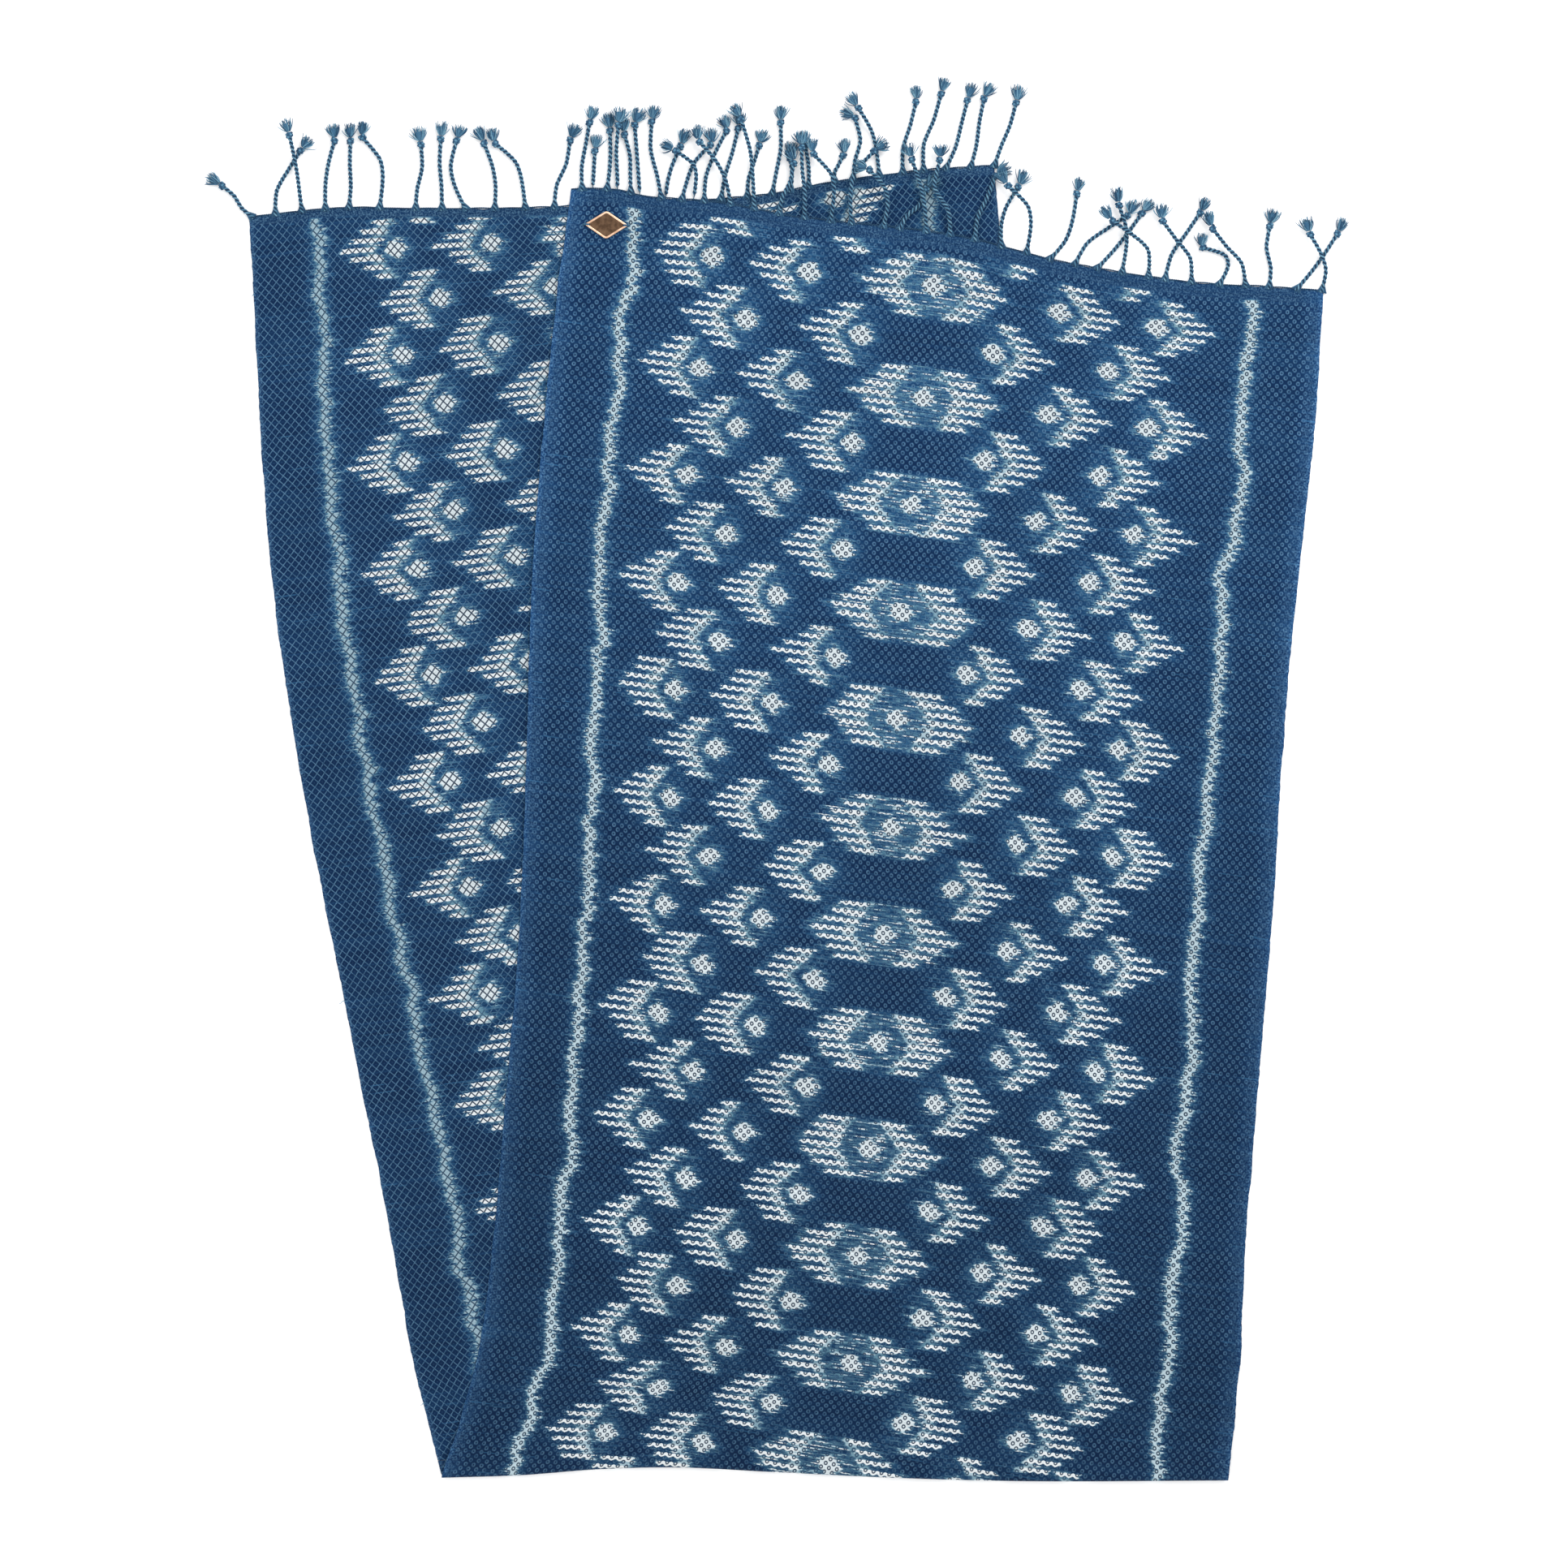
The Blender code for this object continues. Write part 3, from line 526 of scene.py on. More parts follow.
# How the dressed cloth departs from a flat sheet: the length over which each form comes in, and its size
SELVEDGE_SHARE = 0.02
TURN_DEPTH = 0.55
TURN_LENGTH = 4.2
PULL_DEPTH = 0.9
PULL_LENGTH = 26.0
END_REACH = 9.0
END_DEPTH = 0.8
END_LENGTH = 8.0
BROAD_SWELL = 0.55
SMALL_SWELL = 0.7
SWELL_SIDE = 0.03
SWELL_END = 25.0
SWELL_FOLD = 40.0
EDGE_THICKNESS = 0.45
EDGE_ROUNDING = 2.0
CURL_HEIGHT = 1.8
CURL_WIDTH = 15.0
CURL_START = 40.0
CURL_FADE = (420.0, 600.0)
BARE_REACH = (8.0, 60.0)
BARE_END = 30.0


def cloth_columns():
    """Shares across the cloth, close together at both selvedges."""
    first = EDGE_COLUMNS[-1]
    inner = [between(first, 1.0 - first, index / COLUMNS) for index in range(COLUMNS + 1)]
    return list(EDGE_COLUMNS[:-1]) + inner + [1.0 - share for share in EDGE_COLUMNS[-2::-1]]


def ripple(x, y, scale_x, scale_y, seed):
    """Smooth noise from -1 to 1, stretched along x and y."""
    return noise.noise(Vector((x / scale_x, y / scale_y, seed)))


def to_side(across):
    """The share of the width to the nearer selvedge."""
    return min(across, 1.0 - across)


def selvedge_wander(along, across, seed):
    """How far a selvedge stands out: the turns of the weft, and slow pulls."""
    near = 1.0 - smooth_step(0.0, SELVEDGE_SHARE, to_side(across))
    side = 1.0 if across > 0.5 else -1.0
    turns = TURN_DEPTH * ripple(along, side * 40.0, TURN_LENGTH, 1.0, seed)
    pulls = PULL_DEPTH * ripple(along, side * 70.0, PULL_LENGTH, 1.0, seed + 3.0)
    return side * near * (turns + pulls)


def end_wander(across, from_end, seed):
    """How far the fringe end stands out between and at the strands' roots."""
    near = 1.0 - smooth_step(0.0, END_REACH, from_end)
    return near * END_DEPTH * ripple(across * CLOTH_WIDTH, 0.0, END_LENGTH, 1.0, seed)


def soft_rise(x, y, seed):
    """Small uneven swells of cloth that lies loose, never below zero."""
    broad = 0.5 + 0.5 * ripple(x, y, 85.0, 60.0, seed)
    small = max(0.0, ripple(x, y, 34.0, 19.0, seed + 5.0))
    return BROAD_SWELL * broad + SMALL_SWELL * small


def edge_thickness(across, from_end):
    """The cloth is a little thinner right at its edges, so that they look round."""
    rounding = smooth_step(-0.6, EDGE_ROUNDING, to_side(across) * CLOTH_WIDTH)
    return between(EDGE_THICKNESS, CLOTH_THICKNESS, rounding * smooth_step(-0.8, EDGE_ROUNDING, from_end))


def edge_curl(across, distance):
    """How far the left selvedge lifts off the stretch below, most of all away from the fold."""
    near = 1.0 - smooth_step(0.0, CURL_WIDTH, across * CLOTH_WIDTH)
    far = smooth_step(0.0, CURL_START, distance) * (1.0 - smooth_step(*CURL_FADE, distance))
    return CURL_HEIGHT * near * far


class Row:
    """A cross-section of the cloth: its outer and inner points, and their distances along the cloth."""

    def __init__(self):
        self.outer = []
        self.inner = []
        self.along = []
        self.from_end = []

    def add(self, outer, inner, along, from_end):
        self.outer.append(outer)
        self.inner.append(inner)
        self.along.append(along)
        self.from_end.append(from_end)


def upper_row(columns, step):
    """A row of the upper stretch, at a share of its length up to the fold turn."""
    row = Row()
    for across in columns:
        length = stretch_length(UPPER_SECTIONS, across)
        share = between(0.0, 1.0 - FOLD_OUTER_RADIUS / length, step)
        distance = share * length
        x, y = upper_point(across, share)
        loose = smooth_step(0.0, SWELL_FOLD, length - distance) * smooth_step(0.0, SWELL_END, distance)
        loose *= smooth_step(0.0, SWELL_SIDE, to_side(across))
        z = upper_underside(across, share) + soft_rise(x, y, 2.0) * loose
        z += edge_curl(across, distance)
        x += selvedge_wander(distance, across, 1.0)
        y += end_wander(across, distance, 4.0)
        row.add((x, y, z + edge_thickness(across, distance)), (x, y, z), distance, distance)
    return row


def turn_row(columns, turned):
    """A row of the fold turn, from the upper stretch (0) to the lower one (1)."""
    row = Row()
    angle = math.pi * turned
    for across in columns:
        start = stretch_length(UPPER_SECTIONS, across) - FOLD_OUTER_RADIUS
        distance = start + angle * (FOLD_OUTER_RADIUS - 0.5 * CLOTH_THICKNESS)
        spots = []
        for radius in (FOLD_OUTER_RADIUS, FOLD_OUTER_RADIUS - CLOTH_THICKNESS):
            x, y = turn_point(across, FOLD_OUTER_RADIUS - radius * math.sin(angle), turned)
            x += selvedge_wander(distance, across, 1.0)
            spots.append((x, y, FOLD_OUTER_RADIUS + radius * math.cos(angle)))
        row.add(*spots, distance, distance)
    return row


def upper_rows(columns):
    """The rows of the upper stretch, its fold turn and the tail under the turn."""
    rows = [upper_row(columns, index / UPPER_ROWS) for index in range(UPPER_ROWS + 1)]
    rows += [turn_row(columns, step / FOLD_STEPS) for step in range(1, FOLD_STEPS + 1)]
    tail = Row()
    for across, turned in zip(columns, rows[-1].along):
        x, y = turn_point(across, FOLD_OUTER_RADIUS + FOLD_TAIL, 1.0)
        tail.add((x, y, 0.0), (x, y, CLOTH_THICKNESS), turned + FOLD_TAIL, turned + FOLD_TAIL)
    return rows + [tail]


def lower_row(columns, upper_tail, step):
    """A row of the lower stretch, at a share of its length from the fringe end to the turn's tail."""
    row = Row()
    for across, tail in zip(columns, upper_tail):
        length = stretch_length(LOWER_SECTIONS, across)
        stop = 1.0 - (FOLD_OUTER_RADIUS + FOLD_TAIL + SEAM_GAP) / length
        share = between(0.0, stop, step)
        distance = share * length
        x, y = lower_point(across, share)
        bare = smooth_step(*BARE_REACH, upper_left_edge(y) - x) * smooth_step(0.0, BARE_END, distance)
        rise = soft_rise(x, y, 9.0) * bare * smooth_step(0.0, SWELL_SIDE, across)
        x += selvedge_wander(distance, across, 7.0)
        y += end_wander(across, distance, 11.0)
        thick = edge_thickness(across, distance)
        row.add((x, y, rise + thick), (x, y, rise), tail + (stop - share) * length, distance)
    return row


def lower_rows(columns, upper_tail):
    """The rows of the lower stretch, which runs on from the tail of the turn."""
    return [lower_row(columns, upper_tail, index / LOWER_ROWS) for index in range(LOWER_ROWS + 1)]


def upper_left_edge(y):
    """The x of the upper stretch's left edge at a y."""
    return read_table(UPPER_LEFT_EDGE, "down", "x", -y)


def cloth_shell(name, rows, columns, shift, materials):
    """A closed shell of cloth. materials are those of its outer and its inner side."""
    surface = Surface(shift)
    count = len(columns)
    rings = []
    for row in rows:
        ring = [surface.point(spot) for spot in row.outer]
        ring += [surface.point(spot) for spot in reversed(row.inner)]
        rings.append(ring)
    total = 2 * count
    for low, high in zip(rings, rings[1:]):
        for index in range(total):
            following = (index + 1) % total
            slot = 0 if index < count - 1 or index >= total - 1 else 1
            surface.face((low[index], high[index], high[following], low[following]), slot)
    for ring, turned in ((rings[0], False), (rings[-1], True)):
        for index in range(count - 1):
            corners = (ring[index], ring[index + 1], ring[total - 2 - index], ring[total - 1 - index])
            surface.face(corners[::-1] if turned else corners, 0)
    item = surface.build(name, materials)
    write_cloth_maps(item.data, rows, columns)
    return item


# Where the outer and the inner side lie in the layout for a texture: the start and the width of each
MapStrip = namedtuple("MapStrip", "start width")
LAYOUT_ALONG = MapStrip(0.012, 0.976)
LAYOUT_OUTER = MapStrip(0.006, 0.590)
LAYOUT_INNER = MapStrip(0.992, -0.382)


def write_cloth_maps(mesh, rows, columns):
    """Cloth coordinates in metres, distances from the edges in metres, and the layout for a texture."""
    count = len(columns)
    longest = max(rows[-1].along + rows[0].along)
    shortest = min(rows[-1].along + rows[0].along)
    spots = []
    for row in rows:
        for place in range(2 * count):
            outside = place < count
            column = place if outside else 2 * count - 1 - place
            across = columns[column]
            strip = LAYOUT_OUTER if outside else LAYOUT_INNER
            u = (row.along[column] - shortest) / (longest - shortest)
            spots.append((
                (across * CLOTH_WIDTH * MM, row.along[column] * MM),
                (row.from_end[column] * MM, to_side(across) * CLOTH_WIDTH * MM),
                (LAYOUT_ALONG.start + LAYOUT_ALONG.width * u, strip.start + strip.width * across),
            ))
    for index, name in enumerate(("Cloth", "Edges", "OFBake")):
        layer = mesh.uv_layers.new(name=name)
        values = []
        for loop in mesh.loops:
            values.extend(spots[loop.vertex_index][index])
        layer.data.foreach_set("uv", values)


def spline(points, spacing):
    """Places along a smooth curve through points, which carry a radius each."""
    places = []
    for index in range(len(points) - 1):
        before = points[max(index - 1, 0)][0]
        start, start_radius = points[index]
        stop, stop_radius = points[index + 1]
        after = points[min(index + 2, len(points) - 1)][0]
        steps = max(1, round((stop - start).length / spacing))
        for step in range(steps):
            share = step / steps
            spot = curve_point(before, start, stop, after, share)
            places.append((spot, between(start_radius, stop_radius, share)))
    places.append(points[-1])
    return places


def heading_at(places, index):
    """The way that a curve runs at one of its places, not yet of length 1."""
    return places[min(index + 1, len(places) - 1)][0] - places[max(index - 1, 0)][0]


def flat(spot, height=0.0):
    """A point over a place seen from above, at a height."""
    return Vector((spot.x, spot.y, height))


def side_and_up(direction):
    """Two directions square to one that lies almost level."""
    side = direction.cross(Vector((0.0, 0.0, 1.0))).normalized()
    return side, side.cross(direction).normalized()


def tube(surface, places, sides, shades, squash=1.0):
    """A closed tube through places. shades are the painted shade of its under side and the painted light of
    its upper side.
    """
    rings = []
    for index, (middle, radius) in enumerate(places):
        side, up = side_and_up(heading_at(places, index).normalized())
        ring = []
        for corner in range(sides):
            angle = 2.0 * math.pi * corner / sides
            offset = side * math.cos(angle) + up * (math.sin(angle) * squash)
            # painted shade on the underside, painted light on top
            tone = between(*shades, 0.5 + 0.5 * math.sin(angle))
            ring.append(surface.point(middle + offset * radius, tone))
        rings.append(ring)
    close_rings(surface, rings)


def close_rings(surface, rings):
    """Walls between rings of points, and a cap at each end."""
    sides = len(rings[0])
    for low, high in zip(rings, rings[1:]):
        for corner in range(sides):
            following = (corner + 1) % sides
            surface.face((low[corner], low[following], high[following], high[corner]))
    surface.face(tuple(rings[0][::-1]))
    surface.face(tuple(rings[-1]))


# A ply's middle and half thickness in radii of its cord, and where painted shade in the crease turns to
# painted light on the crest
PLY_MIDDLE = 0.38
PLY_RADIUS = 0.68
CREASE_TO_CREST = (0.80, 1.06)
PLY_TONES = (1.08, 0.88)

# How finely a cord is drawn: the sides of a ply and its rings in one turn, and how light it is
Fineness = namedtuple("Fineness", "sides rings shade")
STRAND_FINENESS = Fineness(7, 12.0, 1.0)
EDGE_FINENESS = Fineness(5, 7.0, 0.45)
STRAND_PITCH = (6.2, 7.0)
EDGE_PITCH = 3.2


def twisted_cord(surface, points, pitch, turn, fineness):
    """Two plies, one a little darker, that wind round each other along points with a radius each, with
    painted shade in the crease between them and painted light on their crests.
    """
    places = spline(points, pitch / fineness.rings)
    for ply, ply_tone in enumerate(PLY_TONES):
        rings = []
        run = 0.0
        for index, (middle, radius) in enumerate(places):
            side, up = side_and_up(heading_at(places, index).normalized())
            if index:
                run += (middle - places[index - 1][0]).length
            angle = 2.0 * math.pi * run / pitch + turn + ply * math.pi
            centre = middle + (side * math.cos(angle) + up * math.sin(angle)) * (PLY_MIDDLE * radius)
            ring = []
            for corner in range(fineness.sides):
                way = angle + 2.0 * math.pi * corner / fineness.sides
                offset = side * math.cos(way) + up * math.sin(way)
                spot = centre + offset * (PLY_RADIUS * radius)
                # painted shade in the crease between the plies, painted light on their crests
                crest = smooth_step(*CREASE_TO_CREST, (spot - middle).length / radius)
                ring.append(surface.point(spot, crest * ply_tone * fineness.shade))
            rings.append(ring)
        close_rings(surface, rings)


# A knot: its turns, their reach and span in shares of the knot, and the cord's radius, sides and steps
KNOT_TURNS = 1.7
KNOT_REACH = 0.31
KNOT_SPAN = 0.42
KNOT_SQUASH = 0.62
KNOT_CORD = 1.05
KNOT_SIDES = 8
KNOT_STEPS = 26
KNOT_CORE = 2.2


def knot(surface, middle, direction, chance):
    """An overhand knot: almost two turns of cord round the strand."""
    side, up = side_and_up(direction)
    places = []
    start = chance.uniform(0.0, 6.0)
    for step in range(KNOT_STEPS + 1):
        share = step / KNOT_STEPS
        angle = start + 2.0 * math.pi * KNOT_TURNS * share
        reach = KNOT_REACH * KNOT_WIDTH
        spot = middle + direction * (between(-KNOT_SPAN, KNOT_SPAN, share) * KNOT_LENGTH)
        spot = spot + side * (math.cos(angle) * reach) + up * (math.sin(angle) * reach * KNOT_SQUASH)
        places.append((spot, KNOT_CORD))
    rings = []
    for index, (spot, radius) in enumerate(places):
        way = heading_at(places, index).normalized()
        arm = (spot - middle - direction * (spot - middle).dot(direction)).normalized()
        out = way.cross(arm).normalized()
        ring = []
        for corner in range(KNOT_SIDES):
            angle = 2.0 * math.pi * corner / KNOT_SIDES
            offset = arm * math.cos(angle) + out * math.sin(angle)
            # painted shade on the inner side of each turn and painted light on its outer side, in bands along
            # the cord
            tone = smooth_step(-0.2, 1.0, math.cos(angle)) * (0.55 + 0.45 * math.sin(1.9 * index))
            ring.append(surface.point(spot + offset * radius, tone))
        rings.append(ring)
    close_rings(surface, rings)
    core = [(middle - direction * KNOT_CORE, 1.5), (middle, 1.9), (middle + direction * KNOT_CORE, 1.6)]
    tube(surface, core, KNOT_SIDES, (0.1, 0.5), 0.85)


# A tuft: how many yarns it has, how far they spread, bend and swell out, and the tones that they take
TUFT_YARNS = 46
WISP_EVERY = 3
WISP_SPREAD = 1.55
TUFT_REACH = (0.68, 1.12)
TUFT_BEND = 1.3
TUFT_NECK = 0.9
TUFT_SWELL = 3.1
TUFT_CURVE = 1.55
TUFT_TONES = (0.30, 0.6, 0.85, 1.1)
TUFT_HEART = ((0.0, 1.4), (0.25, 1.8), (0.5, 2.3), (0.66, 2.2))


def tuft(surface, neck, direction, chance):
    """The frayed end past the knot: a dense heart and loose yarns that swell out and curl in again."""
    side, up = side_and_up(direction)
    length = (TUFT_LENGTH + 1.5) * chance.uniform(0.88, 1.08)
    fullness = chance.uniform(0.80, 1.15)
    heart = [(neck + direction * (share * length), width * fullness) for share, width in TUFT_HEART]
    # the heart is painted dark, as shade inside the tuft
    tube(surface, heart, 8, (0.10, 0.50), 0.45)
    for yarn in range(TUFT_YARNS):
        wisp = 1.0 if yarn % WISP_EVERY else WISP_SPREAD
        spread = chance.uniform(-1.0, 1.0) * wisp
        lift = chance.uniform(-1.0, 1.0)
        reach = length * chance.uniform(*TUFT_REACH) * (1.0 - 0.10 * spread * spread)
        bend = chance.uniform(-TUFT_BEND, TUFT_BEND) * wisp
        tone = chance.choice(TUFT_TONES)
        places = []
        for step in range(6):
            share = step / 5.0
            swell = TUFT_NECK + TUFT_SWELL * fullness * math.sin(TUFT_CURVE * share)
            spot = neck + direction * (reach * share)
            spot = spot + side * (spread * swell + bend * share * share)
            spot = spot + up * (lift * between(0.8, 1.2, share))
            places.append((spot, between(0.42, 0.24, share)))
        tube(surface, places, 3, (0.5 * tone, tone))


# The yarns that gather into a strand: where each starts beside the root, and their three places outwards
ROOT_OFFSETS = (-3.1, -1.9, -0.7, 0.7, 1.9, 3.1)
RootPlace = namedtuple("RootPlace", "out narrowing height radius")
ROOT_PLACES = [
    RootPlace(-1.6, 1.0, 0.8, 0.62), RootPlace(1.2, 0.62, 1.2, 0.66), RootPlace(5.0, 0.16, 1.9, 0.55),
]


def root_yarns(surface, root, first, floor, chance):
    """Warp yarns that gather from the cloth's end into a strand."""
    outward = flat(first - root).normalized()
    sideways = Vector((outward.y, -outward.x, 0.0))
    for offset in ROOT_OFFSETS:
        stray = chance.uniform(0.9, 1.15)
        points = []
        for index, place in enumerate(ROOT_PLACES):
            aside = offset * place.narrowing * (1.0 if index else stray)
            spot = flat(root) + outward * place.out + sideways * aside
            points.append((flat(spot, floor + place.height), place.radius))
        tube(surface, spline(points, 1.0), 5, (0.05, chance.uniform(0.24, 0.50)))


# The first part of a strand: how far it starts inside the cloth, and how thin it is where it is covered
ROOT_INSIDE = 1.5
COVERED_RADIUS = 0.4
COVERED_FREE = 1.4


def strand_cord(surface, strand, root, rest_at, chance):
    """One strand as a two-ply cord with its knot and its tuft."""
    rings = strand_rings(strand, root, rest_at)
    body, end, knot_end, neck, tail = rings[:-4], rings[-4], rings[-3], rings[-2], rings[-1]
    floor = rest_at(root)
    first = Vector(body[0][0])
    outward = (first - root).normalized()
    points = [(flat(root - outward * ROOT_INSIDE, floor + 0.9), COVERED_RADIUS if strand.covered else 1.2)]
    if strand.covered:
        for place, width, height, underside in body[:2]:
            points.append((flat(place, underside + 0.5 * height), COVERED_RADIUS))
        points.append((flat(root + outward * (strand.covered + COVERED_FREE), 1.7), 1.45))
        body = body[2:]
    else:
        points.append((flat(root + outward * 2.5, floor + 1.5), 1.6))
        root_yarns(surface, root, first, floor, chance)
    for place, width, height, underside in body:
        points.append((flat(place, underside + 0.5 * height), 0.49 * min(width, height)))
    level = end[3] + 0.5 * KNOT_HEIGHT
    points.append((flat(end[0], level), 0.5 * STRAND_HEIGHT))
    twisted_cord(surface, points, chance.uniform(*STRAND_PITCH), chance.uniform(0.0, 6.0), STRAND_FINENESS)
    middle = flat((end[0] + knot_end[0]) * 0.5, level)
    knot(surface, middle, flat(knot_end[0] - end[0]).normalized(), chance)
    tuft(surface, flat(neck[0], level - 0.25), flat(tail[0] - neck[0]).normalized(), chance)


def edge_cord(surface, strands, point_at, rest_at, chance):
    """The thin dark yarn along the fringe end, which bows out between the strands' roots."""
    stops = [0.0] + [across_at(point_at, strand.root) for strand in strands[1:-1]] + [1.0]
    places = []
    for start, stop in zip(stops, stops[1:]):
        reach = chance.uniform(0.0, 0.8)
        for step in range(4):
            share = step / 4.0
            places.append((between(start, stop, share), reach * math.sin(math.pi * share)))
    places.append((1.0, 0.0))
    points = []
    for across, bow in places:
        edge = Vector(point_at(across, 0.0))
        points.append((Vector((edge.x, edge.y + bow, rest_at(edge) + 0.75)), 0.58))
    twisted_cord(surface, points, EDGE_PITCH, 0.0, EDGE_FINENESS)


def make_fringe(name, strands, point_at, rest_at, shift, material, seed):
    """All strands of one fringe with the yarn along their roots."""
    chance = random.Random(seed)
    surface = Surface(shift)
    for strand in strands:
        root = Vector(point_at(across_at(point_at, strand.root), 0.0))
        strand_cord(surface, strand, root, rest_at, chance)
    edge_cord(surface, strands, point_at, rest_at, chance)
    return surface.build(name, [material])


class Term:
    """A value in a material's node tree that plain formulas can work on."""

    def __init__(self, tree, socket):
        self.tree = tree
        self.socket = socket

    def apply(self, operation, *others):
        node = self.tree.nodes.new("ShaderNodeMath")
        node.operation = operation
        for entry, value in zip(node.inputs, (self, *others)):
            feed(self.tree, entry, value)
        return Term(self.tree, node.outputs[0])

    __add__ = partialmethod(apply, "ADD")
    __sub__ = partialmethod(apply, "SUBTRACT")
    __mul__ = partialmethod(apply, "MULTIPLY")
    __truediv__ = partialmethod(apply, "DIVIDE")
    floor = partialmethod(apply, "FLOOR")
    round = partialmethod(apply, "ROUND")
    fraction = partialmethod(apply, "FRACT")
    absolute = partialmethod(apply, "ABSOLUTE")
    most = partialmethod(apply, "MAXIMUM")
    least = partialmethod(apply, "MINIMUM")
    below = partialmethod(apply, "LESS_THAN")
    root = partialmethod(apply, "SQRT")
    sine = partialmethod(apply, "SINE")

    def wrap(self, low, high):
        return self.apply("WRAP", high, low)

    def soft(self, low, high):
        """0 at low, 1 at high, and a soft S between them. low may be the greater one."""
        inputs = {"Value": self, "From Min": low, "From Max": high}
        output = add_node(self.tree, "MapRange", inputs, "Result", interpolation_type="SMOOTHSTEP")
        return Term(self.tree, output)

    def inverse(self):
        """What is left of 1."""
        return self * -1.0 + 1.0

    def wave(self, length):
        """A sine wave of a length along this value."""
        return (self * (2.0 * math.pi / length)).sine()


def feed(tree, entry, value):
    """Links a term or a socket to an input, or sets a fixed value on it."""
    if isinstance(value, Term):
        value = value.socket
    if isinstance(value, bpy.types.NodeSocket):
        tree.links.new(value, entry)
    else:
        entry.default_value = value


def add_node(tree, kind, inputs, output=0, **settings):
    """One of the outputs of a new node with these settings and inputs."""
    node = tree.nodes.new("ShaderNode" + kind)
    for name, value in settings.items():
        setattr(node, name, value)
    for name, value in inputs.items():
        feed(tree, node.inputs[name], value)
    return node.outputs[output]


def white_noise(value):
    """A random number from 0 to 1 for each value. What is added to a value only tells the draws apart."""
    output = add_node(value.tree, "TexWhiteNoise", {"W": value}, "Value", noise_dimensions="1D")
    return Term(value.tree, output)


def vector(tree, x, y, z=0.0):
    return add_node(tree, "CombineXYZ", {0: x, 1: y, 2: z})


def smooth_noise(tree, place, scale=1.0, detail=1.0):
    """Smooth noise around 0.5 at a place."""
    inputs = {"Scale": scale, "Detail": detail, "Vector": place}
    return Term(tree, add_node(tree, "TexNoise", inputs, "Fac"))


def cloth_noise(across, along, scale_across, scale_along, detail=1.0):
    """Smooth noise over the cloth, in turns for each millimetre."""
    tree = across.tree
    return smooth_noise(tree, vector(tree, across * scale_across, along * scale_along), 1.0, detail)


def uv_terms(tree, name):
    """The two coordinates of a UV map, in millimetres."""
    split = tree.nodes.new("ShaderNodeSeparateXYZ")
    tree.links.new(add_node(tree, "UVMap", {}, "UV", uv_map=name), split.inputs[0])
    return Term(tree, split.outputs[0]) * PER_METRE, Term(tree, split.outputs[1]) * PER_METRE


def ramp(factor, stops):
    """A colour ramp through stops, each given as a Dye row."""
    node = factor.tree.nodes.new("ShaderNodeValToRGB")
    elements = node.color_ramp.elements
    while len(elements) < len(stops):
        elements.new(0.5)
    for element, stop in zip(elements, stops):
        element.position = stop.gone
        element.color = (stop.red, stop.green, stop.blue, 1.0)
    factor.tree.links.new(factor.socket, node.inputs["Fac"])
    return node.outputs["Color"]


def mix(factor, first, second, blend="MIX"):
    """Two colours mixed. Either may be a socket or a fixed colour."""
    inputs = {0: factor, MIX_FIRST: first, MIX_SECOND: second}
    return add_node(factor.tree, "Mix", inputs, MIX_RESULT, data_type="RGBA", blend_type=blend)


def new_material(name):
    material = bpy.data.materials.new(name)
    material.use_nodes = True
    return material, material.node_tree


def finish_material(tree, inputs, height, strength, distance):
    """Feeds the shader of a material and gives it a bump."""
    shader = tree.nodes["Principled BSDF"]
    for name, value in inputs.items():
        feed(tree, shader.inputs[name], value)
    bump = {"Strength": strength, "Distance": distance, "Height": height}
    tree.links.new(add_node(tree, "Bump", bump, "Normal"), shader.inputs["Normal"])


# The colour inputs and output of the mix node
MIX_FIRST = 6
MIX_SECOND = 7
MIX_RESULT = 2
PER_METRE = 1000.0

# The fading edges of a chevron: each pair is where there is nothing and where there is all, in
# millimetres from its tips or from its inner ends, and for the eye in its own half sizes
DASH_TIP = (-1.8, 2.2)
DASH_INNER = (3.0, -1.5)
BAND_START = (-12.0, -8.0)
BAND_END = (2.5, -2.0)
EYE_EDGE = (1.12, 0.72)
HAZE_TIP = (-13.0, 3.0)
HAZE_INNER = (-30.0, 4.0)
HALO_START = (-17.0, -9.0)
HALO_END = (7.0, -1.0)
GLOW_EDGE = (2.1, 0.95)
BLEED_ROWS = (4.0, 3.0)
DASH_ROWS = 3.5
BAND_ROWS = 3.4

# How far tips and inner ends stray from dash to dash, and how much dye the parts have lost
TIP_STRAY = 4.0
TIP_SLACK = 3.6
STEP_STRAY = 3.4
INNER_STRAY = 5.0
BAND_DYE = 0.60
BAND_DYE_STRAY = 0.22
EYE_DYE = 0.94
EYE_ROUNDNESS = 0.55
EYE_STRAY = 0.28
HALO_DYE = 0.50
GLOW_DYE = 0.40


